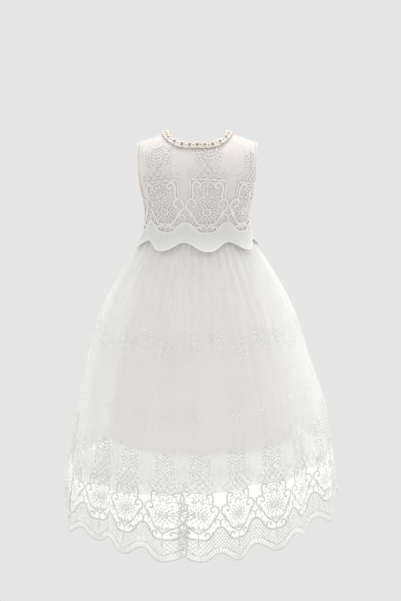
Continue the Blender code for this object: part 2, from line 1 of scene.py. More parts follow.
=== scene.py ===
"""The looks of a baby's christening gown: metres, +Z up, the front faces -Y.

Each layer of cloth is a thin shell on the form of its solid. A place on the cloth is (across, up).
Across is an angle in radians round the body, 0 at centre front and a quarter turn at the side of
+X. Up is a distance along or above the cloth. The lace is drawn flat, in mm from the middle of a
motif and above the tip of its scallop, and is then laid on the cloth thread by thread.
"""

import math
from collections import namedtuple

import bpy
import numpy as np
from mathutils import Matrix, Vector
from mathutils.geometry import delaunay_2d_cdt


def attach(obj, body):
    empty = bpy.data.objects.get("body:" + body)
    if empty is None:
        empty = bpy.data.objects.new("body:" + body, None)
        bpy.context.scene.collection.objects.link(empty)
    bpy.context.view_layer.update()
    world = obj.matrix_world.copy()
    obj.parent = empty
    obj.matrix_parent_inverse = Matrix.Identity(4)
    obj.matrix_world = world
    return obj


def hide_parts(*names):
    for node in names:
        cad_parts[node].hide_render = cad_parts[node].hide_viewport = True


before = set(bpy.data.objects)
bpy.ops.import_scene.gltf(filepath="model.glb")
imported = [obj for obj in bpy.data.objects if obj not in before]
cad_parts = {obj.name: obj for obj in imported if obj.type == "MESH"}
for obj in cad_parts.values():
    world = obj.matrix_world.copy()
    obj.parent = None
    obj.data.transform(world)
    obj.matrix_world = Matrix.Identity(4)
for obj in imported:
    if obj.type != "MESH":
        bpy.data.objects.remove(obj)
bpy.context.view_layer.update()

MM = 0.001
QUARTER = math.pi / 2
TURN = math.tau
BODY = "root"
TINY = 1e-12
TINY_SQUARE = 1e-18

# -------- sizes shared with the solids

WALL = 1.2 * MM
SEAM_GAP = 0.3 * MM
LAYER = WALL + SEAM_GAP
PROBE = 0.2 * MM
PROBE_TURN = 0.002
SEARCH_STEPS = 24
SEARCH_REACH = 1.2
TRIM_PROBE = 0.004

CHEST_Z = -0.095
SHOULDER_Z = -0.012
WAIST_Z = -0.148
HEM_Z = -0.607
PETTICOAT_HEM_Z = -0.504
PETTICOAT_TILT = 0.012
LINING_HEM_Z = -0.466

CHEST_RISE = CHEST_Z - WAIST_Z
SHOULDER_RISE = 0.120
SHOULDER_ROUNDNESS = 2.4
RIDGE_TOP = 0.0262
RIDGE_SLOPE = 0.38
RIDGE_SOFTNESS = 0.030
NECK_HALF_WIDTH = 0.0435
NECK_FRONT_DEPTH = 0.0528
NECK_BACK_DEPTH = 0.0545
NECK_SQUARENESS = 3.0

BODICE_REPEATS = 8
BODICE_MOTIF_TURN = math.radians(10)
LACE_DROP = 0.020
LACE_SCALLOP = 0.013
LACE_RIPPLE = 0.0012
SCALLOP_ROUNDNESS = 2.4

HEM_REPEATS = 22
HEM_SCALLOP = 0.014
HEM_SIDE_LIFT = 0.016
HEM_CORNER_LIFT = 0.004
HEM_TILT = 0.012
SWAY = 0.0055
SWAY_TOP_Z = -0.310
SWAY_END_Z = -0.430
EVEN_OUT = 0.0495
GATHERS = 44
MOTIF_PITCH = 58.0
HEM_SLANT = 0.985

TRIM_WIDTH = 0.0090
TRIM_STONES = 27

BUTTONS = 5
BUTTON_RADIUS = 0.0042
BUTTON_THICKNESS = 0.0024
BUTTON_SETBACK = 0.0075
BUTTON_TOP_RISE = 0.0990
BUTTON_SPACING = 0.0230
BUTTON_SEAT = 0.0006


def table(row_type, *rows):
    """Rows whose columns have the names of this row type."""
    return tuple(row_type(*row) for row in rows)


BodiceSection = namedtuple("BodiceSection", "height half_width half_depth squareness")
BODICE_SECTIONS = table(
    BodiceSection,
    (-0.170, 0.0805, 0.0680, 2.0),
    (-0.148, 0.0805, 0.0680, 2.0),
    (-0.128, 0.0800, 0.0695, 2.1),
    (-0.107, 0.0805, 0.0715, 2.3),
    (-0.085, 0.0858, 0.0730, 2.7),
    (-0.060, 0.0900, 0.0735, 3.0),
    (-0.012, 0.0915, 0.0735, 3.3),
)
SIDE = QUARTER - SEAM_GAP / 2 / BODICE_SECTIONS[0].half_width
BACK_OPENING = SEAM_GAP / 2 / NECK_BACK_DEPTH

ArmholePoint = namedtuple("ArmholePoint", "rise angle")
ARMHOLE = table(
    ArmholePoint,
    (0.0410, 90.0),
    (0.0440, 81.0),
    (0.0540, 72.5),
    (0.0720, 67.0),
    (0.0950, 64.5),
    (0.1200, 64.5),
    (0.1450, 66.0),
    (0.1730, 69.0),
)

LaceLift = namedtuple("LaceLift", "rise lift")
LACE_LIFTS = table(
    LaceLift,
    (-0.0220, 0.0165),
    (-0.0200, 0.0155),
    (-0.0135, 0.0115),
    (-0.0070, 0.0072),
    (0.0000, 0.0040),
    (0.0100, 0.0020),
    (0.0200, 0.0015),
    (0.1800, 0.0015),
)

SkirtRing = namedtuple("SkirtRing", "height half_width half_depth")
NET_RINGS = table(
    SkirtRing,
    (-0.148, 0.0816, 0.0691),
    (-0.155, 0.0845, 0.0716),
    (-0.1615, 0.0872, 0.0740),
    (-0.168, 0.0915, 0.0776),
    (-0.180, 0.1003, 0.0850),
    (-0.218, 0.1235, 0.1035),
    (-0.256, 0.1445, 0.1195),
    (-0.295, 0.1600, 0.1320),
    (-0.333, 0.1715, 0.1420),
    (-0.373, 0.1835, 0.1520),
    (-0.412, 0.1950, 0.1610),
    (-0.452, 0.2020, 0.1680),
    (-0.502, 0.2090, 0.1755),
    (-0.553, 0.2160, 0.1810),
    (-0.610, 0.2225, 0.1860),
)
PETTICOAT_RINGS = table(
    SkirtRing,
    (-0.148, 0.0799, 0.0674),
    (-0.155, 0.0822, 0.0694),
    (-0.168, 0.0880, 0.0745),
    (-0.180, 0.0950, 0.0802),
    (-0.218, 0.1150, 0.0955),
    (-0.256, 0.1330, 0.1085),
    (-0.295, 0.1470, 0.1190),
    (-0.373, 0.1680, 0.1350),
    (-0.452, 0.1830, 0.1470),
    (-0.518, 0.1930, 0.1550),
)
LINING_RINGS = table(
    SkirtRing,
    (-0.148, 0.0775, 0.0650),
    (-0.168, 0.0815, 0.0690),
    (-0.218, 0.0945, 0.0790),
    (-0.295, 0.1120, 0.0930),
    (-0.373, 0.1290, 0.1080),
    (-0.466, 0.1490, 0.1250),
)

# A fold grows from its top height down to the hem. Angles are in degrees, depths in mm outwards.
Fold = namedtuple("Fold", "angle half_width depth top")
FOLDS = table(
    Fold,
    (-81, 6.5, -7, -0.240),
    (-63, 6.0, 8, -0.260),
    (-47, 5.0, -9, -0.220),
    (-33, 7.0, 6, -0.250),
    (-17, 6.0, 4, -0.330),
    (-5.5, 4.2, -10, -0.300),
    (8, 6.5, 5, -0.280),
    (23, 5.0, -7, -0.260),
    (38, 6.5, 7, -0.240),
    (53, 5.5, -8, -0.250),
    (67, 6.0, 6, -0.230),
    (81, 5.5, -6, -0.270),
    (97, 6.5, 7, -0.240),
    (114, 6.0, -8, -0.250),
    (131, 7.0, 6, -0.260),
    (148, 5.0, -8, -0.230),
    (163, 6.0, 7, -0.250),
    (179, 5.5, -7, -0.280),
    (195, 6.5, 7, -0.240),
    (212, 5.5, -8, -0.260),
    (229, 7.0, 6, -0.250),
    (246, 5.5, -7, -0.240),
    (262, 6.0, 7, -0.250),
)

GatherDepth = namedtuple("GatherDepth", "height depth")
GATHER_DEPTHS = table(
    GatherDepth,
    (-0.148, 0.0008),
    (-0.155, 0.0011),
    (-0.168, 0.0016),
    (-0.200, 0.0025),
    (-0.240, 0.0024),
    (-0.285, 0.0012),
    (-0.330, 0.0000),
)
GatherDrift = namedtuple("GatherDrift", "times amount start")
GATHER_DRIFTS = table(
    GatherDrift,
    (5, 0.012, 1.0),
    (9, 0.007, 2.1),
)

# -------- finer form of the cloth

# Soft creases between the large folds. A crease fades in below its top and out at its foot.
Crease = namedtuple("Crease", "angle half_width depth top foot")
CREASES = table(
    Crease,
    (-86, 1.8, 2.2, -0.190, -0.420),
    (-74, 2.2, -2.6, -0.230, -0.560),
    (-68, 1.5, 1.8, -0.180, -0.350),
    (-55, 2.0, 2.4, -0.290, -0.610),
    (-41, 1.6, -2.2, -0.200, -0.390),
    (-39, 2.4, 2.6, -0.350, -0.610),
    (-27, 1.8, -2.0, -0.190, -0.400),
    (-23, 2.2, 2.2, -0.330, -0.600),
    (-12, 1.6, 2.0, -0.180, -0.330),
    (-10, 2.0, -1.8, -0.380, -0.590),
    (1, 1.7, -2.2, -0.200, -0.430),
    (3, 2.4, 2.0, -0.360, -0.600),
    (14, 2.0, 2.2, -0.190, -0.370),
    (17, 1.8, -2.0, -0.340, -0.610),
    (29, 1.6, 2.6, -0.210, -0.480),
    (33, 2.2, -2.2, -0.300, -0.580),
    (45, 2.0, -2.6, -0.190, -0.430),
    (47, 1.6, 2.0, -0.370, -0.600),
    (60, 2.2, 2.4, -0.220, -0.520),
    (73, 1.8, -2.4, -0.200, -0.600),
    (88, 2.2, 2.4, -0.240, -0.560),
    (104, 1.8, -2.2, -0.190, -0.400),
    (121, 2.2, 2.6, -0.240, -0.600),
    (138, 1.6, -2.2, -0.200, -0.440),
    (155, 2.0, 2.2, -0.300, -0.610),
    (171, 1.8, 2.2, -0.190, -0.380),
    (187, 2.4, -2.6, -0.260, -0.600),
    (203, 1.6, 2.2, -0.200, -0.420),
    (221, 2.2, -2.4, -0.240, -0.590),
    (237, 1.8, 2.4, -0.210, -0.450),
    (254, 2.2, 2.2, -0.290, -0.610),
    (268, 1.8, -2.2, -0.200, -0.500),
)
CREASE_FADE = 0.060
CREASE_SLANT = 1.4
CREASE_WANDER = 2.4

# Tucks in which the cloth doubles back behind itself, growing from their top down to the hem
Tuck = namedtuple("Tuck", "angle half_width lap depth top")
TUCKS = table(
    Tuck,
    (-7.6, 4.4, 2.5, 3.4, -0.440),
    (-72.0, 2.4, 2.1, 3.0, -0.430),
    (99.0, 2.4, 2.0, 2.6, -0.460),
    (122.0, 2.5, 2.2, 3.0, -0.440),
    (176.0, 2.4, 2.2, 3.2, -0.450),
    (238.0, 2.5, 2.1, 3.0, -0.430),
)
TUCK_SPREAD = 3.0
TUCK_GROWTH = 1.7
TUCK_STEEPNESS = 1.5

# Small drag lines of the bodice, in degrees, metres and mm
Drag = namedtuple("Drag", "angle rise half_width half_length depth slant")
BODICE_DRAGS = table(
    Drag,
    (-70, 0.030, 4.0, 0.026, 1.3, 9),
    (-58, 0.022, 3.0, 0.020, -0.9, 7),
    (-48, 0.060, 4.0, 0.030, 0.9, -6),
    (-20, 0.018, 3.5, 0.018, 0.8, 3),
    (12, 0.016, 3.0, 0.016, -0.7, -3),
    (34, 0.024, 4.0, 0.024, 0.9, -5),
    (47, 0.058, 4.5, 0.030, -1.0, 7),
    (66, 0.028, 3.6, 0.026, 1.3, -9),
    (112, 0.030, 4.0, 0.026, 1.2, 9),
    (128, 0.056, 4.5, 0.028, -0.9, -6),
    (150, 0.020, 3.5, 0.020, 0.9, 4),
    (205, 0.022, 3.5, 0.020, 0.9, -4),
    (228, 0.058, 4.5, 0.030, -0.9, 7),
    (247, 0.030, 4.0, 0.026, 1.2, -9),
)

HEM_FLUTTER = 0.0012
HEM_FLUTTER_HEIGHT = 0.045


def between(table, height):
    """Values of a table's other columns at these heights or rises, smoothly from row to row."""
    rows = np.array(sorted(table), float)
    height = np.clip(height, rows[0, 0], rows[-1, 0])
    low = np.clip(np.searchsorted(rows[:, 0], height, side="right") - 1, 0, len(rows) - 2)
    spans = np.diff(rows[:, 0])
    chords = np.diff(rows[:, 1:], axis=0) / spans[:, None]
    before, after = chords[:-1], chords[1:]
    same_way = before * after > 0
    middle = 2 * before * after / np.where(same_way, before + after, 1.0)
    slopes = np.vstack([chords[:1], np.where(same_way, middle, 0.0), chords[-1:]])
    t = ((height - rows[low, 0]) / spans[low])[..., None]
    values = (1 + 2 * t) * (1 - t) ** 2 * rows[low, 1:] + t * t * (3 - 2 * t) * rows[low + 1, 1:]
    bend = t * (1 - t) ** 2 * slopes[low] + t * t * (t - 1) * slopes[low + 1]
    values = values + spans[low][..., None] * bend
    return [values[..., column] for column in range(values.shape[-1])]


def smooth_step(value):
    """0 up to 0, 1 from 1 on, and an even rise between."""
    value = np.clip(value, 0.0, 1.0)
    return value * value * (3 - 2 * value)


def rounded(angle, squareness):
    """Across and out from the centre of a rounded square of half width 1, in this direction."""
    across, out = np.sin(angle), np.cos(angle)
    reach = (np.abs(across) ** squareness + np.abs(out) ** squareness) ** (-1 / squareness)
    return across * reach, out * reach


def other_side(share, squareness):
    """The other coordinate of the rounded square's point whose first coordinate is share."""
    return np.maximum(1 - np.abs(share) ** squareness, 0.0) ** (1 / squareness)


def scallop(share):
    """Height of a scalloped edge over its tips, 0 to 1, at this share of a repeat from a tip."""
    away = np.abs((share + 0.5) % 1.0 - 0.5) * 2
    return np.sin(away * QUARTER) ** SCALLOP_ROUNDNESS


def hump(share):
    """A soft ridge: 1 in its middle, and falling away on both sides."""
    return np.exp(-(share**2))


def unit(vectors):
    """The vectors at length 1."""
    return vectors / np.maximum(np.linalg.norm(vectors, axis=-1, keepdims=True), TINY)


# -------- forms of the cloth


def shoulder_ridge(x):
    """Height of the shoulder line over the neck and down to the arm."""
    return RIDGE_TOP - RIDGE_SLOPE * np.hypot(x, RIDGE_SOFTNESS)


def section_at(up):
    """Half width, half depth and squareness of the bodice at this share of the shoulder's rise."""
    return between(BODICE_SECTIONS, CHEST_Z + (SHOULDER_Z - CHEST_Z) * up)


def drag_depth(across, rise):
    """How far the small drag lines move the bodice's cloth out at this place."""
    moved = 0.0
    for drag in BODICE_DRAGS:
        along = (rise - drag.rise) / drag.half_length
        away = (np.degrees(across) - drag.angle - drag.slant * along + 180) % 360 - 180
        moved = moved + drag.depth * MM * np.exp(-((away / drag.half_width) ** 2) - along**2)
    return moved


def bodice_form(across, rise):
    """Middle of the bodice lining. Above the chest, front and back lean in to meet on the shoulder."""
    across, rise = np.broadcast_arrays(across, rise)
    low = rise <= CHEST_RISE
    lean = np.maximum(rise - CHEST_RISE, 0.0) / SHOULDER_RISE * QUARTER
    up, out = rounded(lean, SHOULDER_ROUNDNESS)
    height = np.where(low, WAIST_Z + rise, CHEST_Z + (SHOULDER_Z - CHEST_Z) * up)
    half_width, half_depth, squareness = between(BODICE_SECTIONS, height)
    x, y = rounded(across, squareness)
    drag = drag_depth(across, rise)
    x = (half_width + drag) * x
    z = np.where(low, WAIST_Z + rise, CHEST_Z + (shoulder_ridge(x) - CHEST_Z) * up)
    return np.stack([x, -(half_depth + drag) * y * out, z], axis=-1)


def place_on_yoke(x, depth, side):
    """The bodice's (across, rise) at this x and this distance from the shoulder line.
    side is 1 in front and -1 behind."""
    up = np.ones_like(x)
    for _ in range(SEARCH_STEPS):
        half_width, half_depth, squareness = section_at(up)
        share = x / half_width
        reach = other_side(share, squareness)
        out = np.minimum(depth / (half_depth * reach), 1.0)
        up = other_side(out, SHOULDER_ROUNDNESS)
    across = np.arctan2(share, side * reach)
    rise = CHEST_RISE + np.arctan2(up, out) / QUARTER * SHOULDER_RISE
    return np.where(side < 0, across % TURN, across), rise


def outward(form, across, up):
    """Unit normals of a form, away from the body."""
    along = form(across + PROBE_TURN, up) - form(across - PROBE_TURN, up)
    rising = form(across, up + PROBE) - form(across, up - PROBE)
    return unit(np.cross(along, rising))


def lace_form(across, rise):
    """Middle of the lace over-bodice, which flares over the gathers below the waist."""
    (lift,) = between(LACE_LIFTS, rise)
    below = smooth_step(-rise / LACE_DROP)
    ripple = LACE_RIPPLE * below * np.cos(BODICE_REPEATS * (across - BODICE_MOTIF_TURN))
    return bodice_form(across, rise) + outward(bodice_form, across, rise) * (lift + ripple)[..., None]


def gather_wave(across):
    """Phase of the gathers, which aren't quite even round the waist."""
    drift = sum(d.amount * np.sin(d.times * across + d.start) for d in GATHER_DRIFTS)
    return GATHERS * (across + drift)


def degrees_away(across, angle):
    """How many degrees round the body the places are from an angle, the shorter way."""
    return (np.degrees(across) - angle + 180) % 360 - 180


def fold_depth(across, height):
    """How far the large folds move the cloth out at this place."""
    moved = 0.0
    for fold in FOLDS:
        away = degrees_away(across, fold.angle)
        growth = smooth_step((fold.top - height) / (fold.top - HEM_Z))
        moved = moved + fold.depth * MM * growth * hump(away / fold.half_width)
    return moved


def crease_depth(across, height):
    """How far the finer creases move the cloth out at this place."""
    moved = 0.0
    for number, crease in enumerate(CREASES):
        share = (crease.top - height) / (crease.top - crease.foot)
        lean = CREASE_SLANT * math.sin(number * CREASE_WANDER) * crease.half_width * share
        away = degrees_away(across, crease.angle + lean)
        fade = smooth_step((crease.top - height) / CREASE_FADE)
        fade = fade * smooth_step((height - crease.foot) / CREASE_FADE)
        moved = moved + crease.depth * MM * fade * hump(away / crease.half_width)
    return moved


def tucked(across, height):
    """Where the tucks shift the cloth to round the body, and how far they press it in."""
    shifted, pressed = across, 0.0
    for tuck in TUCKS:
        growth = smooth_step(TUCK_GROWTH * (tuck.top - height) / (tuck.top - HEM_Z))
        u = degrees_away(across, tuck.angle) / tuck.half_width
        lap = tuck.lap * math.radians(tuck.half_width) * u * hump(u)
        shifted = shifted - growth * lap
        press = np.tanh(TUCK_STEEPNESS * u) * hump(u / TUCK_SPREAD)
        pressed = pressed + tuck.depth * MM * growth * press
    return shifted, pressed


def skirt_form(rings, gathered, folded, creased):
    """A form of (across, height) for one layer of the skirt. gathered, folded and creased are the
    shares of the waist's gathers, of the large folds and of the fine creases that the layer has."""

    def form(across, height):
        across, height = np.broadcast_arrays(across, height)
        half_width, half_depth = between(rings, height)
        (depth,) = between(GATHER_DEPTHS, height)
        moved = gathered * depth * np.cos(gather_wave(across))
        moved = moved + folded * fold_depth(across, height) + creased * crease_depth(across, height)
        turn = across
        if creased == 1.0:
            near_hem = 1 - smooth_step((height - HEM_Z) / HEM_FLUTTER_HEIGHT)
            moved = moved + HEM_FLUTTER * near_hem * np.cos(HEM_REPEATS * across)
            turn, pressed = tucked(across, height)
            moved = moved - pressed
        turn = turn - EVEN_OUT * np.sin(2 * turn)
        sway = SWAY * smooth_step((SWAY_TOP_Z - height) / (SWAY_TOP_Z - SWAY_END_Z))
        x = (half_width + moved) * np.sin(turn) + sway
        y = (half_depth + moved) * np.cos(turn)
        return np.stack([x, -y, height], axis=-1)

    return form


net_form = skirt_form(NET_RINGS, 1.0, 1.0, 1.0)
petticoat_form = skirt_form(PETTICOAT_RINGS, 0.9, 0.7, 0.8)
lining_form = skirt_form(LINING_RINGS, 0.0, 0.25, 0.3)


def hem_tips(across):
    """Height of the hem's scallop tips, which lift towards the sides, most on the wearer's left."""
    tips = HEM_Z + HEM_SIDE_LIFT * np.sin(across) ** 2 + HEM_CORNER_LIFT * np.sin(2 * across) ** 2
    return tips + HEM_TILT * np.sin(across) ** 3


def net_hem(across):
    """Height of the outer skirt's scalloped hem."""
    return hem_tips(across) + HEM_SCALLOP * scallop(HEM_REPEATS * across / TURN)


def petticoat_hem(across):
    """Height of the petticoat's hem, which hangs a little lower on one side."""
    return PETTICOAT_HEM_Z + PETTICOAT_TILT * np.sin(across)


def lining_hem(across):
    return np.full_like(across, LINING_HEM_Z)


# -------- shading


def add_node(tree, kind, inputs=(), **settings):
    """A shader node with these settings. Its inputs are fed by name or number, each with a socket
    or a plain value."""
    node = tree.nodes.new("ShaderNode" + kind)
    for name, value in settings.items():
        setattr(node, name, value)
    for key, value in dict(inputs).items():
        if isinstance(value, bpy.types.NodeSocket):
            tree.links.new(value, node.inputs[key])
        else:
            node.inputs[key].default_value = value
    return node


def math_node(tree, operation, *values):
    """Output of a math node that is fed with sockets or plain numbers."""
    return add_node(tree, "Math", enumerate(values), operation=operation).outputs[0]


def new_group(name, inputs, output, kind):
    """A shader group with these inputs (name and default) and one output of this kind. Returns it
    with the sockets that it is given, in order, and the socket of its result."""
    group = bpy.data.node_groups.new(name, "ShaderNodeTree")
    for label, default in inputs.items():
        is_number = isinstance(default, float)
        socket_type = "NodeSocketFloat" if is_number else "NodeSocketColor"
        socket = group.interface.new_socket(label, in_out="INPUT", socket_type=socket_type)
        socket.default_value = default
    group.interface.new_socket(output, in_out="OUTPUT", socket_type="NodeSocket" + kind)
    given = group.nodes.new("NodeGroupInput").outputs
    result = group.nodes.new("NodeGroupOutput").inputs[output]
    return group, [given[label] for label in inputs], result


TONE_DETAIL = 3.0


def cloth_tone_group():
    """Soft uneven shade of washed cloth: a colour, darker by up to Amount in large soft patches."""
    inputs = {"Colour": (0.8, 0.8, 0.8, 1.0), "Size": 30.0, "Amount": 0.05}
    group, (colour, size, amount), result = new_group("cloth_tone", inputs, "Colour", "Color")
    place = add_node(group, "TexCoord").outputs["Object"]
    noise = add_node(group, "TexNoise", {"Vector": place, "Scale": size, "Detail": TONE_DETAIL})
    shade = math_node(group, "MULTIPLY", noise.outputs["Fac"], amount)
    level = math_node(group, "SUBTRACT", 1.0, shade)
    grey = add_node(group, "CombineColor", dict.fromkeys(("Red", "Green", "Blue"), level)).outputs[0]
    dark = add_node(group, "Mix", data_type="RGBA", blend_type="MULTIPLY")
    dark.inputs[0].default_value = 1.0
    group.links.new(colour, dark.inputs[6])
    group.links.new(grey, dark.inputs[7])
    group.links.new(dark.outputs[2], result)
    return group


def thread_group(name, height):
    """Height of fine threads on the cloth's own UV, as height gives it, Count of them to the metre."""
    group, (count,), result = new_group(name, {"Count": 1000.0}, "Height", "Float")
    place = add_node(group, "TexCoord").outputs["UV"]
    u, v, _ = add_node(group, "SeparateXYZ", {0: place}).outputs
    group.links.new(height(group, u, v, count), result)
    return group


def wave(group, phase, kind="SINE"):
    return math_node(group, kind, math_node(group, "MULTIPLY", phase, TURN))


def plain_weave(group, u, v, count):
    """Threads that cross each other along and across the cloth."""
    over, under = (wave(group, math_node(group, "MULTIPLY", along, count)) for along in (u, v))
    return math_node(group, "MULTIPLY", over, under)


NET_DEPTH = -0.333


def six_sided_net(group, u, v, count):
    """Threads round the meshes of net, from three waves a third of a turn apart."""
    waves = []
    for third in range(3):
        angle = third * TURN / 3
        across = math_node(group, "MULTIPLY", u, math.cos(angle))
        upwards = math_node(group, "MULTIPLY", v, math.sin(angle))
        along = math_node(group, "ADD", across, upwards)
        waves.append(wave(group, math_node(group, "MULTIPLY", along, count), "COSINE"))
    total = math_node(group, "ADD", math_node(group, "ADD", waves[0], waves[1]), waves[2])
    return math_node(group, "MULTIPLY", total, NET_DEPTH)


STITCH_SLANT = 0.8


def laid_stitches(group, u, v, count):
    """Close stitches laid across a raised thread."""
    along = math_node(group, "MULTIPLY", u, count)
    slant = math_node(group, "MULTIPLY", v, STITCH_SLANT)
    return wave(group, math_node(group, "ADD", along, slant))


CLOTH_TONE = cloth_tone_group()
WEAVE = thread_group("woven_threads", plain_weave)
NET = thread_group("net_mesh", six_sided_net)
STITCHES = thread_group("stitch_rows", laid_stitches)

# cover is the share of light that the cloth stops, glow the share that it passes on, softened.
# relief is the group that gives its threads, count of them to the metre, and strength how far they
# stand out. patch and uneven are the scale and the depth of its soft uneven shade.
Finish = namedtuple(
    "Finish", "name colour roughness sheen cover glow relief count strength patch uneven"
)
FINISHES = table(
    Finish,
    ("ivory_satin_lining", (0.845, 0.81, 0.77), 0.50, 0.15, 1.0, 0.04, WEAVE, 2600, 0.25, 26, 0.07),
    ("skirt_net", (0.935, 0.935, 0.92), 0.75, 0.10, 0.42, 0.70, NET, 700, 0.35, 34, 0.08),
    ("bodice_net", (0.80, 0.785, 0.77), 0.75, 0.10, 0.38, 0.50, NET, 700, 0.35, 40, 0.08),
    ("bodice_close_mesh", (0.95, 0.945, 0.93), 0.75, 0.10, 0.78, 0.16, NET, 900, 0.35, 40, 0.08),
    ("petticoat_net", (0.92, 0.925, 0.905), 0.75, 0.10, 0.50, 0.08, NET, 800, 0.35, 30, 0.08),
    ("petticoat_hem", (0.92, 0.925, 0.905), 0.75, 0.10, 0.50, 0.08, NET, 800, 0.35, 30, 0.08),
    # The two hem threads below are the same thread as the bodice's cords and satin stitch, painted
    # darker: painted shade for threads seen dark against the net that the hem light shines through.
    ("hem_cord", (0.68, 0.675, 0.65), 0.60, 0.10, 1.0, 0.08, STITCHES, 1100, 0.30, 60, 0.08),
    ("hem_satin_stitch", (0.74, 0.735, 0.71), 0.50, 0.10, 1.0, 0.08, STITCHES, 1900, 0.25, 60, 0.08),
    ("spray_thread", (0.77, 0.77, 0.745), 0.70, 0.05, 1.0, 0.30, STITCHES, 1900, 0.10, 60, 0.06),
    ("hem_crown_thread", (0.80, 0.795, 0.77), 0.60, 0.10, 1.0, 0.20, STITCHES, 1900, 0.15, 60, 0.06),
    ("bodice_crown_thread", (0.80, 0.79, 0.775), 0.60, 0.10, 1.0, 0.20, STITCHES, 1900, 0.15, 60, 0.06),
    ("bodice_cord", (0.845, 0.84, 0.825), 0.55, 0.10, 1.0, 0.12, STITCHES, 1100, 0.30, 60, 0.08),
    ("bodice_satin_stitch", (0.795, 0.79, 0.775), 0.45, 0.10, 1.0, 0.12, STITCHES, 1900, 0.25, 60, 0.08),
    ("cotton_binding", (0.93, 0.925, 0.91), 0.65, 0.15, 1.0, 0.25, WEAVE, 2400, 0.30, 40, 0.06),
    ("neck_ribbon", (0.915, 0.89, 0.845), 0.60, 0.15, 1.0, 0.15, WEAVE, 2000, 0.35, 60, 0.10),
    ("bodice_seam", (0.80, 0.785, 0.77), 0.75, 0.10, 0.60, 0.50, NET, 700, 0.35, 40, 0.08),
    ("skirt_seam", (0.935, 0.935, 0.92), 0.75, 0.10, 0.60, 0.70, NET, 700, 0.35, 34, 0.08),
)

BeadFinish = namedtuple("BeadFinish", "name colour roughness coat metallic")
BEAD_FINISHES = table(
    BeadFinish,
    ("cut_stone", (0.26, 0.22, 0.18), 0.10, 1.0, 0.2),
    ("smoky_drop", (0.36, 0.30, 0.23), 0.12, 1.0, 0.0),
    ("pearl_bead", (0.94, 0.89, 0.82), 0.22, 0.8, 0.0),
    ("seed_bead", (0.58, 0.50, 0.38), 0.20, 0.6, 0.0),
    ("pearl_shell", (0.88, 0.86, 0.82), 0.18, 0.8, 0.0),
)
BEAD_PATCH = 300
BEAD_UNEVEN = 0.12
THREAD_DEPTH = 0.1 * MM
SHEEN_ROUGHNESS = 0.4
CLOTH_SPECULAR = 0.3
COAT_ROUGHNESS = 0.08


def shaded(name, colour, patch, uneven, settings):
    """A material whose colour varies softly. Returns it, its tree and its main shader."""
    material = bpy.data.materials.new(name)
    material.use_nodes = True
    tree = material.node_tree
    tone = tree.nodes.new("ShaderNodeGroup")
    tone.node_tree = CLOTH_TONE
    for socket, value in (("Colour", (*colour, 1.0)), ("Size", patch), ("Amount", uneven)):
        tone.inputs[socket].default_value = value
    shader = tree.nodes["Principled BSDF"]
    tree.links.new(tone.outputs["Colour"], shader.inputs["Base Color"])
    for socket, value in settings.items():
        shader.inputs[socket].default_value = value
    return material, tree, shader


def raised_threads(tree, finish):
    """Normals of a material's threads."""
    relief = tree.nodes.new("ShaderNodeGroup")
    relief.node_tree = finish.relief
    relief.inputs["Count"].default_value = finish.count
    height = relief.outputs["Height"]
    bump = {"Strength": finish.strength, "Distance": THREAD_DEPTH, "Height": height}
    return add_node(tree, "Bump", bump).outputs["Normal"]


def cloth_material(finish):
    """Cloth that passes some of the light on softened, and some straight through if it is a net."""
    settings = {
        "Roughness": finish.roughness,
        "Sheen Weight": finish.sheen,
        "Sheen Roughness": SHEEN_ROUGHNESS,
        "Specular IOR Level": CLOTH_SPECULAR,
    }
    material, tree, shader = shaded(finish.name, finish.colour, finish.patch, finish.uneven, settings)
    normal = raised_threads(tree, finish)
    tree.links.new(normal, shader.inputs["Normal"])
    tone = shader.inputs["Base Color"].links[0].from_socket
    passed = add_node(tree, "BsdfTranslucent", {"Color": tone, "Normal": normal})
    body = add_node(tree, "MixShader", {0: finish.glow, 1: shader.outputs[0], 2: passed.outputs[0]})
    if finish.cover < 1:
        clear = add_node(tree, "BsdfTransparent").outputs[0]
        body = add_node(tree, "MixShader", {0: finish.cover, 1: clear, 2: body.outputs[0]})
    tree.links.new(body.outputs[0], tree.nodes["Material Output"].inputs["Surface"])
    return material


def bead_material(finish):
    """Polished bead or shell, a little uneven in tone."""
    settings = {
        "Roughness": finish.roughness,
        "Coat Weight": finish.coat,
        "Coat Roughness": COAT_ROUGHNESS,
        "Metallic": finish.metallic,
    }
    return shaded(finish.name, finish.colour, BEAD_PATCH, BEAD_UNEVEN, settings)[0]


CLOTH = {finish.name: cloth_material(finish) for finish in FINISHES}
BEADS = {finish.name: bead_material(finish) for finish in BEAD_FINISHES}


# -------- meshes


def add_mesh(name, points, faces, material, uv=None, smooth=True):
    """A piece from an array of points and an array of faces that all have as many corners."""
    faces = np.asarray(faces, np.int32)
    mesh = bpy.data.meshes.new(name)
    mesh.vertices.add(len(points))
    mesh.vertices.foreach_set("co", np.asarray(points, np.float32).ravel())
    mesh.loops.add(faces.size)
    mesh.loops.foreach_set("vertex_index", faces.ravel())
    mesh.polygons.add(len(faces))
    mesh.polygons.foreach_set("loop_start", np.arange(len(faces), dtype=np.int32) * faces.shape[1])
    mesh.update(calc_edges=True)
    if uv is not None:
        layer = mesh.uv_layers.new(name="cloth")
        layer.uv.foreach_set("vector", np.asarray(uv, np.float32)[faces.ravel()].ravel())
    if smooth:
        mesh.shade_smooth()
    mesh.materials.append(material)
    piece = bpy.data.objects.new(name, mesh)
    bpy.context.scene.collection.objects.link(piece)
    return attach(piece, BODY)


def grid_faces(columns, rows):
    """Faces of a grid of points in rows + 1 rows of columns + 1."""
    corner = (np.arange(rows)[:, None] * (columns + 1) + np.arange(columns)).ravel()
    return np.stack([corner, corner + 1, corner + columns + 2, corner + columns + 1], axis=1)


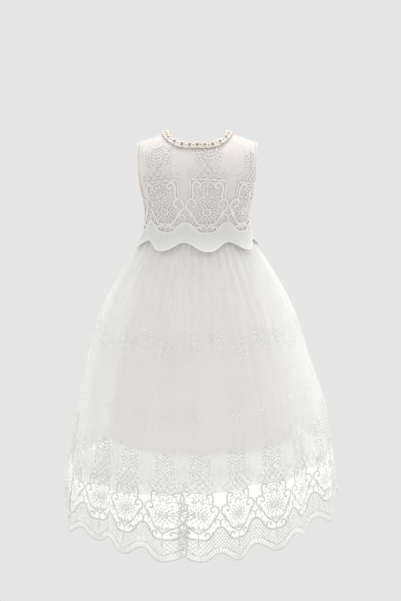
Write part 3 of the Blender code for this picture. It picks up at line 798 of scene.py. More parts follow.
def ring_faces(rings, sides, closed=False):
    """Faces between rings of points. closed joins the last ring to the first."""
    start = np.arange(rings if closed else rings - 1)[:, None] * sides
    after = (start + sides) % (rings * sides)
    here, follow = np.arange(sides), (np.arange(sides) + 1) % sides
    corners = (start + here, after + here, after + follow, start + follow)
    return np.stack([corner.ravel() for corner in corners], axis=1)


def smooth_line(points, step):
    """Points about a step apart on a smooth curve through these points."""
    points = np.array(points, float)
    ends = np.vstack([2 * points[0] - points[1], points, 2 * points[-1] - points[-2]])
    pieces = []
    for a, b, c, d in zip(ends, ends[1:], ends[2:], ends[3:]):
        count = max(1, math.ceil(np.linalg.norm(c - b) / step))
        t = (np.arange(count) / count)[:, None]
        bend = (2 * a - 5 * b + 4 * c - d) * t**2 + (3 * b - a - 3 * c + d) * t**3
        pieces.append(0.5 * (2 * b + (c - a) * t + bend))
    return np.vstack([*pieces, points[-1:]])


Stroke = namedtuple("Stroke", "line half_widths rise")


def even_stroke(line, half_width, rise):
    """A stroke that is as wide all along."""
    return Stroke(line, np.full(len(line), half_width), rise)


def changed(strokes, change, share=1.0):
    """The strokes with their lines changed by a function, and this share of their thickness."""
    return [Stroke(change(s.line), s.half_widths * share, s.rise * share) for s in strokes]


THREAD_LIFT = 0.12 * MM
BODICE_THREAD_LIFT = 0.26 * MM


def lay_strokes(name, form, strokes, material, lift=THREAD_LIFT):
    """One mesh of raised threads. A stroke's line is places on the form, and its half widths and
    rise are in mm. Each thread is a low ridge on the cloth."""
    lengths = np.array([len(stroke.line) for stroke in strokes])
    first = np.repeat(np.cumsum(lengths) - lengths, lengths)
    last = first + np.repeat(lengths, lengths) - 1
    number = np.arange(lengths.sum())
    across, up = np.vstack([stroke.line for stroke in strokes]).T
    half = np.concatenate([stroke.half_widths for stroke in strokes])[:, None] * MM
    rise = np.repeat([stroke.rise for stroke in strokes], lengths)[:, None] * MM
    middle = form(across, up)
    normal = outward(form, across, up)
    ahead = middle[np.minimum(number + 1, last)] - middle[np.maximum(number - 1, first)]
    side = unit(np.cross(ahead, normal))
    middle = middle + normal * lift
    ridge = [middle + side * half, middle + normal * rise, middle - side * half]
    start = number[number < last] * 3
    faces = [np.stack([start, start + 3, start + 4, start + 1], axis=1) + j for j in (0, 1)]
    along = np.cumsum(np.linalg.norm(middle - middle[np.maximum(number - 1, first)], axis=1))
    uv = np.stack([np.repeat(along, 3), np.tile([0.0, 0.5, 1.0], len(number))], axis=1)
    return add_mesh(name, np.stack(ridge, axis=1).reshape(-1, 3), np.vstack(faces), material, uv)


TUBE_SIDES = 8
TUBE_ROUND = 4 * MM


def tube(name, path, normals, half_width, half_height, material, closed=False):
    """A rolled edge along a path of points, with its section turned to the normals there."""
    before = np.roll(path, 1, axis=0)
    after = np.roll(path, -1, axis=0)
    if not closed:
        before[0], after[-1] = path[0], path[-1]
    side = unit(np.cross(after - before, normals))
    angle = np.arange(TUBE_SIDES) * TURN / TUBE_SIDES
    wide = side[:, None] * (half_width * np.cos(angle))[:, None]
    high = normals[:, None] * (half_height * np.sin(angle))[:, None]
    points = (path[:, None] + wide + high).reshape(-1, 3)
    faces = ring_faces(len(path), TUBE_SIDES, closed)
    along = np.cumsum(np.linalg.norm(path - before, axis=1))
    round_it = np.tile(angle / TURN * TUBE_ROUND, len(path))
    uv = np.stack([np.repeat(along, TUBE_SIDES), round_it], axis=1)
    return add_mesh(name, points, faces, material, uv)


# -------- lace drawing, in mm

CORD_HALF = 1.35
FINE_HALF = 0.7
CORD_RISE = 0.30
FINE_RISE = 0.22
LEAF_RISE = 0.25
CORD_STEP = 1.6
LEAF_STEPS = 4
LEAF_END = 0.15
CORD_END = 0.6
DOT_SHAPE = np.array([0.35, 1.0, 0.35])
RING_POINTS = 13


def cord(points, half_width=CORD_HALF, rise=CORD_RISE, step=CORD_STEP):
    """A cord through these points, a little thinner at its ends."""
    stroke = even_stroke(smooth_line(points, step), half_width, rise)
    stroke.half_widths[[0, -1]] *= CORD_END
    return stroke


def fine(points):
    return cord(points, FINE_HALF, FINE_RISE)


def leaf(x, y, length, width, angle):
    """A satin leaf with its foot at x, y, pointing this many degrees from straight up to +x."""
    share = np.linspace(0, 1, LEAF_STEPS + 1)
    way = np.array([math.sin(math.radians(angle)), math.cos(math.radians(angle))])
    half_widths = width / 2 * np.sin(math.pi * share**0.8) + LEAF_END
    return Stroke(np.array([x, y]) + np.outer(share * length, way), half_widths, LEAF_RISE)


Leaf = namedtuple("Leaf", "x y length width angle")
LeafRing = namedtuple("LeafRing", "count reach length width turn")


def leaves(rows):
    """The leaves of a table."""
    return [leaf(*row) for row in rows]


def dot(x, y, radius):
    line = np.array([x, y]) + np.outer([-radius, 0.0, radius], [0.0, 1.0])
    return Stroke(line, DOT_SHAPE * radius, LEAF_RISE)


def mirrored(strokes):
    """These strokes and their mirror images left of the axis."""
    return [*strokes, *changed(strokes, lambda line: line * (-1, 1))]


def leaf_ring(x, y, count, reach, length, width, turn=0.0):
    """Leaves pointing out all round a centre, starting this far from it."""
    ring = []
    for number in range(count):
        angle = turn + 360 * number / count
        way = math.radians(angle)
        foot = (x + reach * math.sin(way), y + reach * math.cos(way))
        ring.append(leaf(*foot, length, width, angle))
    return ring


def ring_cord(x, y, radius, half_width):
    angles = np.linspace(0, TURN, RING_POINTS)
    points = np.stack([x + radius * np.sin(angles), y + radius * np.cos(angles)], axis=1)
    return even_stroke(points, half_width, CORD_RISE)


def runs_inside(kept):
    """First and past-the-end numbers of each stretch of two or more places that are kept."""
    ends = np.flatnonzero(np.diff(np.concatenate([[0], kept.astype(int), [0]])))
    return [(a, b) for a, b in zip(ends[::2], ends[1::2]) if b - a > 1]


# Scalloped edge: its cord, the rays that stand on it and the fine cord over them
RAY_FOOT = 2.2
RAY_TAPER = np.array([0.9, 1.0, 0.8])
INNER_CORD = 1.0
EDGE_POINTS = 41


def edge_lace(lace):
    """The cords and the rays of one scallop of this lace."""
    x = np.linspace(-lace.pitch / 2, lace.pitch / 2, EDGE_POINTS)
    y = lace.scallop * scallop(x / lace.pitch)
    tilt = -np.arctan(np.gradient(y, x))
    up = np.stack([np.sin(tilt), np.cos(tilt)], axis=1)
    line = np.stack([x, y], axis=1)
    reach = lace.ray_reach
    cords = [
        even_stroke(line + up * lace.edge_half, lace.edge_half, CORD_RISE),
        even_stroke(line + up * (reach + INNER_CORD), FINE_HALF, FINE_RISE),
    ]
    bars = []
    for spot in (np.arange(lace.rays) + 0.5) / lace.rays * (len(x) - 1):
        foot = [np.interp(spot, np.arange(len(x)), part) for part in (x, y)]
        way = unit(np.array([np.interp(spot, np.arange(len(x)), part) for part in up.T]))
        ray = foot + np.outer([RAY_FOOT, (RAY_FOOT + reach) / 2, reach], way)
        bars.append(Stroke(ray, RAY_TAPER * lace.ray_half, LEAF_RISE))
    return cords, bars


# Trellis of crossed threads between the edge and the band over it
TRELLIS_SLOPE = 1.35
TRELLIS_RISE = 0.25
TRELLIS_POINTS = 89
TRELLIS_STRIDE = 3
KNOT_SIZE = 1.6
KNOT_OVER = 1.2
KNOT_UNDER = 1.0


def trellis(lace, high):
    """Crossed threads and knots over the edge of this lace, up to a height at x."""

    def low(x):
        return lace.scallop * scallop(x / lace.pitch) + lace.inner

    half_pitch = lace.pitch / 2
    x = np.linspace(-half_pitch, half_pitch, TRELLIS_POINTS)
    spacing = lace.pitch / lace.cells
    tallest = float(high(x).max())
    threads, knots = [], []
    reach = math.ceil(tallest / TRELLIS_SLOPE / spacing) + lace.cells
    for number in range(-reach, reach + 1):
        for way in (-1, 1):
            line = np.stack([x, way * TRELLIS_SLOPE * (x - number * spacing)], axis=1)
            kept = (line[:, 1] > low(x)) & (line[:, 1] < high(x))
            for a, b in runs_inside(kept):
                picked = line[np.unique([*range(a, b, TRELLIS_STRIDE), b - 1])]
                threads.append(even_stroke(picked, lace.thread_half, TRELLIS_RISE))
    for row in range(1, math.ceil(2 * tallest / TRELLIS_SLOPE / spacing)):
        y = row * TRELLIS_SLOPE * spacing / 2
        for column in range(-lace.cells, lace.cells + 1):
            at = (column + 0.5 * (row % 2 == 0)) * spacing
            clear = abs(at) < half_pitch and low(at) + KNOT_OVER < y < high(at) - KNOT_UNDER
            if clear and (row + column) % 2:
                knots.append(dot(at, y, lace.thread_half * KNOT_SIZE))
    return threads, knots


# Band over the trellis, with a volute each side of its middle and a curl at the joint
LOWER_BAND = ((0, 34), (8, 34.6), (13.5, 37.5), (17.5, 43.5), (21, 50), (25, 54.6), (29, 55.6))
VOLUTE = ((8, 34.6), (13.4, 38.6), (13.4, 44.2), (9.6, 45.8), (7.2, 43.0), (9.0, 40.6))
HOOK = ((29, 55.6), (28.6, 63), (26.4, 68.4), (22.6, 68.2), (21.0, 64.8), (23.0, 62.2))
STEM = ((0, 20), (0, 34), (0, 43))
BAND_LEAVES = table(
    Leaf,
    (15.6, 44.5, 6.0, 2.2, 24),
    (20.0, 53.5, 5.0, 2.0, -10),
)

# Bulb of two C-scrolls that meet in a point, round a rosette
BULB = (
    (0, 43), (7, 49), (13.6, 55.6), (16.8, 63.5), (22.2, 71.5), (27, 80), (26.4, 87.4), (21.4, 91.4),
    (16.4, 89.4), (14.6, 84.4), (17.4, 81.0), (20.4, 82.6),
)
INNER_BULB = ((18.4, 69.5), (21.6, 74.5), (22.8, 78.5))
BULB_LEAVES = table(
    Leaf,
    (1.4, 47.6, 9.0, 3.0, 36),
    (3.4, 49.0, 9.5, 2.8, 64),
    (10.2, 56.6, 5.0, 2.2, 24),
    (19.6, 84.0, 4.4, 2.2, 200),
    (6.4, 86.8, 5.0, 2.2, 62),
    (1.6, 88.8, 4.2, 2.0, 72),
)
BULB_RINGS = table(
    LeafRing,
    (8, 2.8, 5.4, 4.4, 0),
    (14, 7.9, 4.8, 3.2, 13),
    (18, 12.8, 2.8, 2.2, 0),
)
ROSETTE_Y = 72.5
ROSETTE_EYE = 1.8

# Cartouche over it, whose walls end in curls under an arch
CARTOUCHE_WALL = (
    (18.8, 91.4), (17.8, 97), (18.6, 104), (17.4, 110), (13.4, 112.6), (9.6, 109.8), (9.8, 105.6),
    (13.2, 105.2),
)
CARTOUCHE_ARCH = ((9.6, 108.4), (5.2, 111.4), (0, 112.4))
CARTOUCHE_LEAVES = table(
    Leaf,
    (1.6, 93.0, 7.6, 3.0, 70),
    (9.8, 95.2, 5.6, 2.6, 96),
    (1.2, 95.4, 7.0, 2.6, 42),
    (7.6, 99.4, 4.4, 2.0, 20),
    (14.0, 92.6, 4.6, 2.0, 28),
    (12.4, 97.8, 5.0, 2.2, 6),
    (3.2, 101.4, 5.2, 2.2, 60),
    (1.8, 104.6, 5.0, 2.2, 44),
)
OUTER_WALL = ((22.4, 93), (21.4, 99), (21.8, 107), (21.6, 114.5))
LINTEL = ((0, 115), (11, 115), (22, 114.5))

# Tent of lattice over the cartouche, and the plume on its top
TENT_FOOT = 115.0
TENT_ROWS = 5
TENT_SPACING = 8.4
TENT_STEP = 6.0
TENT_HALF = 0.65
TENT_STRIDE = 3.0
TENT_FLOWER = LeafRing(4, 0.6, 2.3, 1.8, 0.0)
TENT_HOOK = ((16.8, 115.6), (21.4, 118.0), (23.2, 123.0), (20.8, 126.4), (17.8, 124.4))
TENT_LEAVES = table(
    Leaf,
    (15.2, 126.0, 5.8, 2.6, 30),
    (11.2, 133.0, 5.8, 2.6, 30),
    (7.2, 139.0, 5.6, 2.6, 34),
)
PLUME_FOOT = 141.0
PLUME_PAIRS = 5
PLUME_SPACING = 5.4
PLUME_TOP = PLUME_FOOT + PLUME_PAIRS * PLUME_SPACING
PLUME_REACH = 11.6
PLUME_WAVE = 1.8
PLUME_WANDER = 2.2
PLUME_WAVES = 7
PLUME_HEAD = 9.0
# One pair's leaves, over the place where it leaves the stem
PLUME_LEAVES = table(
    Leaf,
    (0.6, 0, 8.4, 2.8, 52),
    (PLUME_REACH + 1.2, 2, 4.2, 2.2, 40),
    (PLUME_REACH - 1.4, 3, 4.0, 2.0, -34),
)


def bulb():
    """The rosette between its scrolls, and the leaves round it."""
    cords = mirrored([cord(BULB), fine(INNER_BULB)])
    cords.append(ring_cord(0, ROSETTE_Y, ROSETTE_EYE, FINE_HALF))
    satin = mirrored(leaves(BULB_LEAVES))
    satin.append(leaf(0, 47.0, 10.0, 3.4, 0))
    for row in BULB_RINGS:
        satin += leaf_ring(0, ROSETTE_Y, *row)
    return cords, satin


def cartouche():
    cords = mirrored([cord(CARTOUCHE_WALL), cord(CARTOUCHE_ARCH, 0.8)])
    satin = mirrored(leaves(CARTOUCHE_LEAVES))
    return cords, [*satin, leaf(0, 95.0, 8.5, 3.4, 0), leaf(0, 105.0, 5.6, 2.8, 0)]


def tent():
    """Diagonal lattice that tapers to a point, with a small four-leaved flower on each crossing."""
    cords, satin = [], []
    step = np.array([TENT_SPACING / 2, TENT_STEP])
    for column in range(TENT_ROWS):
        foot = np.array([(column - (TENT_ROWS - 1) / 2) * TENT_SPACING, TENT_FOOT])
        for way, steps in ((-1, column), (1, TENT_ROWS - 1 - column)):
            if steps:
                ends = (foot, foot + step * (way * steps, steps))
                cords.append(cord(ends, TENT_HALF, step=TENT_STRIDE))
        for row in range(TENT_ROWS - column):
            satin += leaf_ring(*(foot + step * row), *TENT_FLOWER)
    cords += mirrored([cord(TENT_HOOK, 0.8)])
    return cords, satin + mirrored(leaves(TENT_LEAVES))


def plume():
    """Feathered stem that opens into a fan, between two waving lines."""
    top = PLUME_TOP
    cords = [fine(((0, PLUME_FOOT - 1), (0.4, (PLUME_FOOT + top) / 2), (0, top)))]
    wave_line = []
    for number in range(PLUME_WAVES + 1):
        x = PLUME_REACH + PLUME_WAVE * math.sin(PLUME_WANDER * number)
        wave_line.append((x, PLUME_FOOT - 2 + number * (top - PLUME_FOOT) / PLUME_WAVES))
    cords += mirrored([cord(wave_line, 0.9)])
    satin = [leaf(0, top, PLUME_HEAD, 2.8, 0)]
    satin += mirrored([leaf(0.8, top - 0.5, PLUME_HEAD, 2.6, angle) for angle in (24, 48)])
    for pair in range(PLUME_PAIRS):
        foot = PLUME_FOOT + pair * PLUME_SPACING
        satin += mirrored(leaves(row._replace(y=foot + row.y) for row in PLUME_LEAVES))
    return cords, satin


def border():
    """The band, the bulb and the cartouche of one repeat."""
    cords = mirrored([cord(LOWER_BAND), cord(VOLUTE), cord(HOOK, 0.9)])
    cords.append(cord(STEM, 0.7))
    satin = mirrored(leaves(BAND_LEAVES))
    for part in (bulb, cartouche):
        more_cords, more_satin = part()
        cords += more_cords
        satin += more_satin
    return cords, satin


def crown():
    """The tent and the plume over the border, in a lighter thread."""
    return [stroke for part in (tent, plume) for strokes in part() for stroke in strokes]


def at_heights(strokes, heights, wider=1.0):
    """The strokes with their heights moved as the pairs say, and laid out this much wider."""
    pairs = np.transpose(heights)
    return changed(
        strokes, lambda line: np.stack([line[:, 0] * wider, np.interp(line[:, 1], *pairs)], axis=1)
    )


def band_foot(x):
    """Height of the lower line of the band at x, where the trellis ends."""
    line = smooth_line(LOWER_BAND, CORD_STEP)
    return np.interp(np.abs(x), line[:, 0], line[:, 1])


# What the lace of the hem and of the bodice have each of their own, in mm. heights are pairs of a
# height in the drawing and on the cloth, and inner is where the trellis starts over the edge.
Lace = namedtuple(
    "Lace", "pitch scallop edge_half rays ray_half ray_reach inner cells thread_half heights"
)
HEM_LACE = Lace(
    MOTIF_PITCH, HEM_SCALLOP / MM / HEM_SLANT, 1.1, 21, 0.75, 9.0, 10.5, 12, 0.46,
    ((0, 0), (56, 55), (72.5, 69.5), (91, 85.5), (115, 105), (141, 128), (241, 228)),
)
BODICE_LACE = Lace(
    64.0, LACE_SCALLOP / MM, 1.8, 22, 1.5, 7.0, 8.4, 14, 0.50,
    (
        (0, 0), (34, 27), (43, 34.5), (56, 43), (69, 55), (81.5, 66.5), (90, 75), (114.5, 95.5),
        (139, 115), (178, 146),
    ),
)


def bodice_band_foot(x):
    """Height of the lower line of the bodice's band at x."""
    share = np.asarray(x) / BODICE_LACE.pitch
    return np.interp(band_foot(share * MOTIF_PITCH), *np.transpose(BODICE_LACE.heights))


def lace_motif(lace, foot, more_cords=()):
    """One repeat of this lace: its cords, its satin stitch and the lighter crown over them. foot
    gives the height of its band's lower line at x."""
    cords, satin = edge_lace(lace)
    threads, knots = trellis(lace, foot)
    cords_over, satin_over = border()
    fit = (lace.heights, lace.pitch / MOTIF_PITCH)
    return (
        cords + threads + at_heights(cords_over + mirrored(more_cords), *fit),
        satin + knots + at_heights(satin_over, *fit),
        at_heights(crown(), *fit),
    )


SPRIG_LEAVES = table(
    Leaf,
    (0.8, 220.0, 8.0, 2.6, 66),
    (7.4, 223.4, 6.0, 2.0, 72),
    (0.8, 223.4, 5.5, 2.2, 40),
)


def sprig():
    """Small crescent of leaves high over a motif."""
    return mirrored(leaves(SPRIG_LEAVES))


SPRAY_BRANCHES = (0.10, 0.26, 0.42, 0.58, 0.76)
SPRAY_HEIGHT = 29
SPRAY_REACH = 12.5
SPRAY_TAPER = 9
BRANCH_DELAY = 2.2
SPRAY_THREAD_SHARE = 0.38


def thinner(strokes):
    """The strokes in the fine thread of the sprays."""
    return changed(strokes, lambda line: line, SPRAY_THREAD_SHARE)


def spray(seed):
    """A light branching spray on its stem, a little different for each seed."""
    uneven = np.random.default_rng(seed)
    tip = SPRAY_HEIGHT + uneven.uniform(-2.5, 3)
    lean = uneven.uniform(-3, 3)
    cords = [cord(((0, 0), (lean * 0.7, tip * 0.5), (lean, tip)), 0.75)]
    satin = [leaf(lean, tip - 1, 6.0, 2.6, lean * 4)]
    for number, share in enumerate(SPRAY_BRANCHES):
        for way in (-1, 1):
            late = BRANCH_DELAY * (number % 2 == (way > 0))
            x, y = lean * share, tip * share + late
            out = (SPRAY_REACH - SPRAY_TAPER * share) * uneven.uniform(0.8, 1.1)
            rise = uneven.uniform(2.5, 5.0)
            end = (x + way * out, y + rise * 0.9)
            cords.append(cord(((x, y), (x + way * out * 0.5, y + rise), end), 0.65))
            satin.append(leaf(*end, 4.8, 2.4, way * uneven.uniform(40, 100)))
            satin.append(leaf(x + way * out * 0.55, y + rise, 4.2, 2.2, way * uneven.uniform(-10, 30)))
    return cords + satin


# -------- skirt

SHELL_RADIUS = 0.150
NET_COLUMNS = 330
NET_ROWS = 90
UNDER_COLUMNS = 200
UNDER_ROWS = 60
ROW_CROWDING = 1.25
SPRAYS = 26
SPRAY_TURN = math.radians(-3.5)
SPRAY_Z = -0.312
SPRAY_RADIUS = 0.158
SPRAY_DEPTH = 0.006
SPRAY_WANDER = 2.2


def add_grid(name, points, u, v, material, downwards=True):
    """A piece of cloth from a grid of points, seen from outside, with its UV in metres. Its rows
    run down the cloth, or up."""
    rows, columns = (size - 1 for size in points.shape[:2])
    faces = grid_faces(columns, rows)
    if downwards:
        faces = faces[:, ::-1]
    uv = np.stack([u, v], axis=-1).reshape(-1, 2)
    return add_mesh(name, points.reshape(-1, 3), faces, material, uv)


def skirt_shell(name, form, first, hem, size, material):
    """Half of a skirt layer, from the side seam at angle first to the other one. size is how many
    columns and rows it has."""
    columns, rows = size
    seam = SEAM_GAP / 2 / NET_RINGS[0].half_width
    across = np.linspace(first + seam, first + math.pi - seam, columns + 1)
    share = np.linspace(0, 1, rows + 1) ** ROW_CROWDING
    top = WAIST_Z - SEAM_GAP
    across, share = np.meshgrid(across, share)
    up = top + (hem(across) - top) * share
    return add_grid(name, form(across, up), across * SHELL_RADIUS, up, material)


def hem_place(motif):
    """Turns mm of the drawing into places on the skirt at this motif."""

    def place(line):
        across = motif + line[:, 0] / MOTIF_PITCH * TURN / HEM_REPEATS
        return across, hem_tips(across) + line[:, 1] * MM * HEM_SLANT

    return place


def spread_out(strokes, places):
    """Copies of the strokes at each place, as strokes whose lines are places on the form."""
    laid = []
    for place in places:
        laid += changed(strokes, lambda line: np.stack(place(line), axis=1))
    return laid


def spray_place(number):
    """Turns mm of the drawing into places on the skirt for one spray of the band."""
    angle = SPRAY_TURN + number * TURN / SPRAYS
    foot = SPRAY_Z + SPRAY_DEPTH * math.sin(number * SPRAY_WANDER)

    def place(line):
        return angle + line[:, 0] * MM / SPRAY_RADIUS, foot + line[:, 1] * MM

    return place


def sprays_of_half(first):
    """The sprays of the band on the half whose first side seam is at this angle."""
    strokes = []
    for number in range(SPRAYS):
        angle = (SPRAY_TURN + number * TURN / SPRAYS - first) % TURN
        if angle < math.pi:
            strokes += spread_out(thinner(spray(number)), [spray_place(number)])
    return strokes


TURNING_ROWS = 4
TURNING_COLUMNS = 160
TURNING_END = 0.003
TURNING_LIFT = 0.1 * MM
TURNING_THICK = 0.35 * MM
TURNING_ROUND = 1.15


def hem_turning(name, form, first, hem, height, material):
    """Narrow turned hem laid over the lower edge of a skirt layer, this many mm high."""
    across = np.linspace(first + TURNING_END, first + math.pi - TURNING_END, TURNING_COLUMNS + 1)
    share = np.linspace(0, 1, TURNING_ROWS + 1)
    across, share = np.meshgrid(across, share)
    up = hem(across) + height * MM * (1 - share)
    lift = TURNING_THICK * np.sin(math.pi * np.clip(share * TURNING_ROUND, 0, 1)) + TURNING_LIFT
    outer = form(across, up) + outward(form, across, up) * lift[..., None]
    return add_grid(name, outer, across * SHELL_RADIUS, up, material)


# The halves of the skirt, with the motifs and the bodice pieces over each
Half = namedtuple("Half", "name first motifs bodice")
HALVES = table(
    Half,
    ("front", -QUARTER, range(-5, 6), ("front",)),
    ("back", QUARTER, range(6, 17), ("back_left", "back_right")),
)
# The hem's cords and satin stitch use the darker thread colours: painted shade against the net lit from
# inside the hem.
HEM_THREADS = (("cords", "hem_cord"), ("satin", "hem_satin_stitch"), ("crowns", "hem_crown_thread"))

# The layers under the net: the ending of the shell's name, the height of the turned hem in mm, and
# the cut of each half, width by length, before it is gathered
Under = namedtuple("Under", "name ending form hem turning cloth hem_cloth slot cut")
UNDER_LAYERS = table(
    Under,
    (
        "petticoat", "net", petticoat_form, petticoat_hem, 7, "petticoat_net", "petticoat_hem",
        "petticoat_net", {"flat": (0.540, 0.361), "held": "gathered"},
    ),
    (
        "skirt_lining", "cloth", lining_form, lining_hem, 9, "ivory_satin_lining",
        "ivory_satin_lining", "lining_cloth", {"flat": (0.440, 0.325), "area": 0.110, "held": "hung"},
    ),
)


def build_skirt_net(half, drawn):
    """The outer net of one half, with its embroidery."""
    name = f"skirt_{half.name}"
    net = skirt_shell(
        f"{name}_net", net_form, half.first, net_hem, (NET_COLUMNS, NET_ROWS), CLOTH["skirt_net"]
    )
    places = [hem_place(number * TURN / HEM_REPEATS) for number in half.motifs]
    lace = []
    for (kind, cloth), strokes in zip(HEM_THREADS, drawn):
        laid = spread_out(strokes, places)
        lace.append(lay_strokes(f"{name}_{kind}", net_form, laid, CLOTH[cloth]))
    sprigs = at_heights(sprig(), HEM_LACE.heights)
    sprays = spread_out(thinner(sprigs), places) + sprays_of_half(half.first)
    lace.append(lay_strokes(f"{name}_sprays", net_form, sprays, CLOTH["spray_thread"]))
    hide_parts(name)
    return net, lace


def build_under_layers(half):
    """The petticoat and the lining of one half, with their turned hems."""
    size = (UNDER_COLUMNS, UNDER_ROWS)
    shells, hems = [], []
    for layer in UNDER_LAYERS:
        name = f"{layer.name}_{half.name}_{layer.ending}"
        edge = (layer.form, half.first, layer.hem)
        shells.append(skirt_shell(name, *edge, size, CLOTH[layer.cloth]))
    for layer in UNDER_LAYERS:
        name = f"{layer.name}_{half.name}_hem"
        edge = (layer.form, half.first, layer.hem)
        hems.append(hem_turning(name, *edge, layer.turning, CLOTH[layer.hem_cloth]))
    return zip(UNDER_LAYERS, shells, hems)


def build_skirt():
    """Both halves of the skirt: the embroidered net, and the petticoat and lining under it."""
    drawn = lace_motif(HEM_LACE, band_foot)
    for half in HALVES:
        net, lace = build_skirt_net(half, drawn)
        for layer, shell, hem in build_under_layers(half):
            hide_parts(f"{layer.name}_{half.name}")


# -------- bodice

BODICE_RADIUS = 0.080
BAND_MARGIN = 0.004
BAND_COLUMNS = 40
BAND_ROWS = 8
OUTLINE_STEP = 0.003
BODICE_GRID = 0.0042
BODICE_CLEARANCE = 0.0022
SAME_POINT = 1e-9
NECK_STEPS = 26
SHOULDER_STEPS = 10


def neck_place(turn, side):
    """Place on the bodice at this angle round the edge of the neck. side is 1 in front, -1 behind."""
    depth = NECK_FRONT_DEPTH if side > 0 else NECK_BACK_DEPTH
    across, out = rounded(turn, NECK_SQUARENESS)
    return place_on_yoke(NECK_HALF_WIDTH * across, np.maximum(depth * np.abs(out), SEAM_GAP / 2), side)


def shoulder_rise(across):
    """Rise of the shoulder seam, half a seam gap short of the shoulder line."""
    _, half_depth, squareness = section_at(np.ones_like(across))
    _, y = rounded(across, squareness)
    out = SEAM_GAP / 2 / np.abs(half_depth * y)
    return CHEST_RISE + np.arctan2(other_side(out, SHOULDER_ROUNDNESS), out) / QUARTER * SHOULDER_RISE


def armhole_edge():
    """Flat points of the armhole's edge on a front quarter, from the side seam to the shoulder."""
    tip = math.radians(ARMHOLE[-1].angle)
    points = [(SIDE * BODICE_RADIUS, ARMHOLE[0].rise)]
    points += [(math.radians(p.angle) * BODICE_RADIUS, p.rise) for p in ARMHOLE[1:-1]]
    points.append((tip * BODICE_RADIUS, float(shoulder_rise(np.array(tip)))))
    return smooth_line(points, OUTLINE_STEP)


def quarter_edge(side, foot):
    """Flat points of one quarter of the bodice, up the side seam, round the armhole and the neck
    to the middle, on +X in front. side is 1 in front and -1 behind. foot is its rise at the seam."""
    count = max(2, math.ceil((ARMHOLE[0].rise - foot) / OUTLINE_STEP))
    rises = np.linspace(foot, ARMHOLE[0].rise, count + 1)[:-1]
    seam = [(SIDE * BODICE_RADIUS, rise) for rise in rises]
    tip = math.radians(ARMHOLE[-1].angle)
    neck = float(neck_place(np.array(QUARTER), 1)[0])
    shoulder = np.linspace(tip, neck, SHOULDER_STEPS + 1)[1:-1]
    top = np.stack([shoulder * BODICE_RADIUS, shoulder_rise(shoulder)], axis=1)
    turns = np.linspace(QUARTER, 0 if side > 0 else BACK_OPENING, NECK_STEPS + 1)
    across, rise = neck_place(turns if side > 0 else math.pi - turns, side)
    if side < 0:
        across = math.pi - across
    return np.vstack([seam, armhole_edge(), top, np.stack([across * BODICE_RADIUS, rise], axis=1)])


def lace_edge_rise(across):
    """Rise of the free lower edge of the lace, below the waist seam."""
    return LACE_SCALLOP * scallop(BODICE_REPEATS * (across - BODICE_MOTIF_TURN) / TURN) - LACE_DROP


def waist_rise(across):
    return np.zeros_like(across)


PART_ENDS = {
    "front": (-SIDE, SIDE),
    "back_left": (math.pi - SIDE, math.pi - BACK_OPENING),
    "back_right": (math.pi + BACK_OPENING, math.pi + SIDE),
}


def bodice_outline(part, lower_edge):
    """Flat outline of a bodice piece, whose lower edge has this rise at an angle."""
    ends = PART_ENDS[part]
    if part == "front":
        left, right = (quarter_edge(1, float(lower_edge(np.array(end)))) for end in ends)
        upper = np.vstack([right, left[::-1][1:] * (-1, 1)])
    else:
        way = 1 if part == "back_right" else -1
        opening, seam = ends[::way]
        middle = (math.pi * BODICE_RADIUS, 0)
        quarter = quarter_edge(-1, float(lower_edge(np.array(seam)))) * (way, 1) + middle
        foot, top = float(lower_edge(np.array(opening))), quarter[-1, 1]
        rises = np.linspace(foot, top, math.ceil((top - foot) / OUTLINE_STEP) + 1)[:-1]
        closing = np.stack([np.full(len(rises), opening * BODICE_RADIUS), rises], axis=1)
        upper = np.vstack([quarter, closing[::-1]])[::way]
    count = math.ceil((ends[1] - ends[0]) * BODICE_RADIUS / OUTLINE_STEP)
    across = np.linspace(*ends, count + 1)[1:-1]
    lower = np.stack([across * BODICE_RADIUS, lower_edge(across)], axis=1)
    return np.vstack([lower, upper])


def inside(points, loop):
    """Which flat points are inside a closed loop."""
    x, y = points[:, :1], points[:, 1:]
    x0, y0 = loop.T
    x1, y1 = np.roll(loop, -1, axis=0).T
    crosses = (y0 > y) != (y1 > y)
    reach = x0 + (y - y0) / np.where(y1 == y0, 1.0, y1 - y0) * (x1 - x0)
    return (crosses & (x < reach)).sum(axis=1) % 2 == 1


def distance_to_loop(points, loop):
    """Distance of flat points from the nearest side of a closed loop."""
    start = loop[None]
    way = (np.roll(loop, -1, axis=0) - loop)[None]
    share = ((points[:, None] - start) * way).sum(-1) / np.maximum((way**2).sum(-1), TINY_SQUARE)
    nearest = start + np.clip(share, 0, 1)[..., None] * way
    return np.linalg.norm(points[:, None] - nearest, axis=-1).min(axis=1)


def cut_cloth(name, form, outline, material):
    """A piece of cloth cut to a flat outline, laid on the form."""
    low, high = outline.min(axis=0), outline.max(axis=0)
    grid = np.meshgrid(*(np.arange(a + BODICE_GRID / 2, b, BODICE_GRID) for a, b in zip(low, high)))
    inner = np.stack([part.ravel() for part in grid], axis=1)
    inner = inner[inside(inner, outline)]
    inner = inner[distance_to_loop(inner, outline) > BODICE_CLEARANCE]
    points = [Vector(point) for point in np.vstack([outline, inner])]
    sides = [(i, (i + 1) % len(outline)) for i in range(len(outline))]
    vertices, _, triangles, *_ = delaunay_2d_cdt(points, sides, [], 0, SAME_POINT)
    flat = np.array([tuple(vertex) for vertex in vertices])
    triangles = np.array([tuple(triangle) for triangle in triangles])
    triangles = triangles[inside(flat[triangles].mean(axis=1), outline)]
    shape = form(flat[:, 0] / BODICE_RADIUS, flat[:, 1])
    return add_mesh(name, shape, triangles, material, flat)


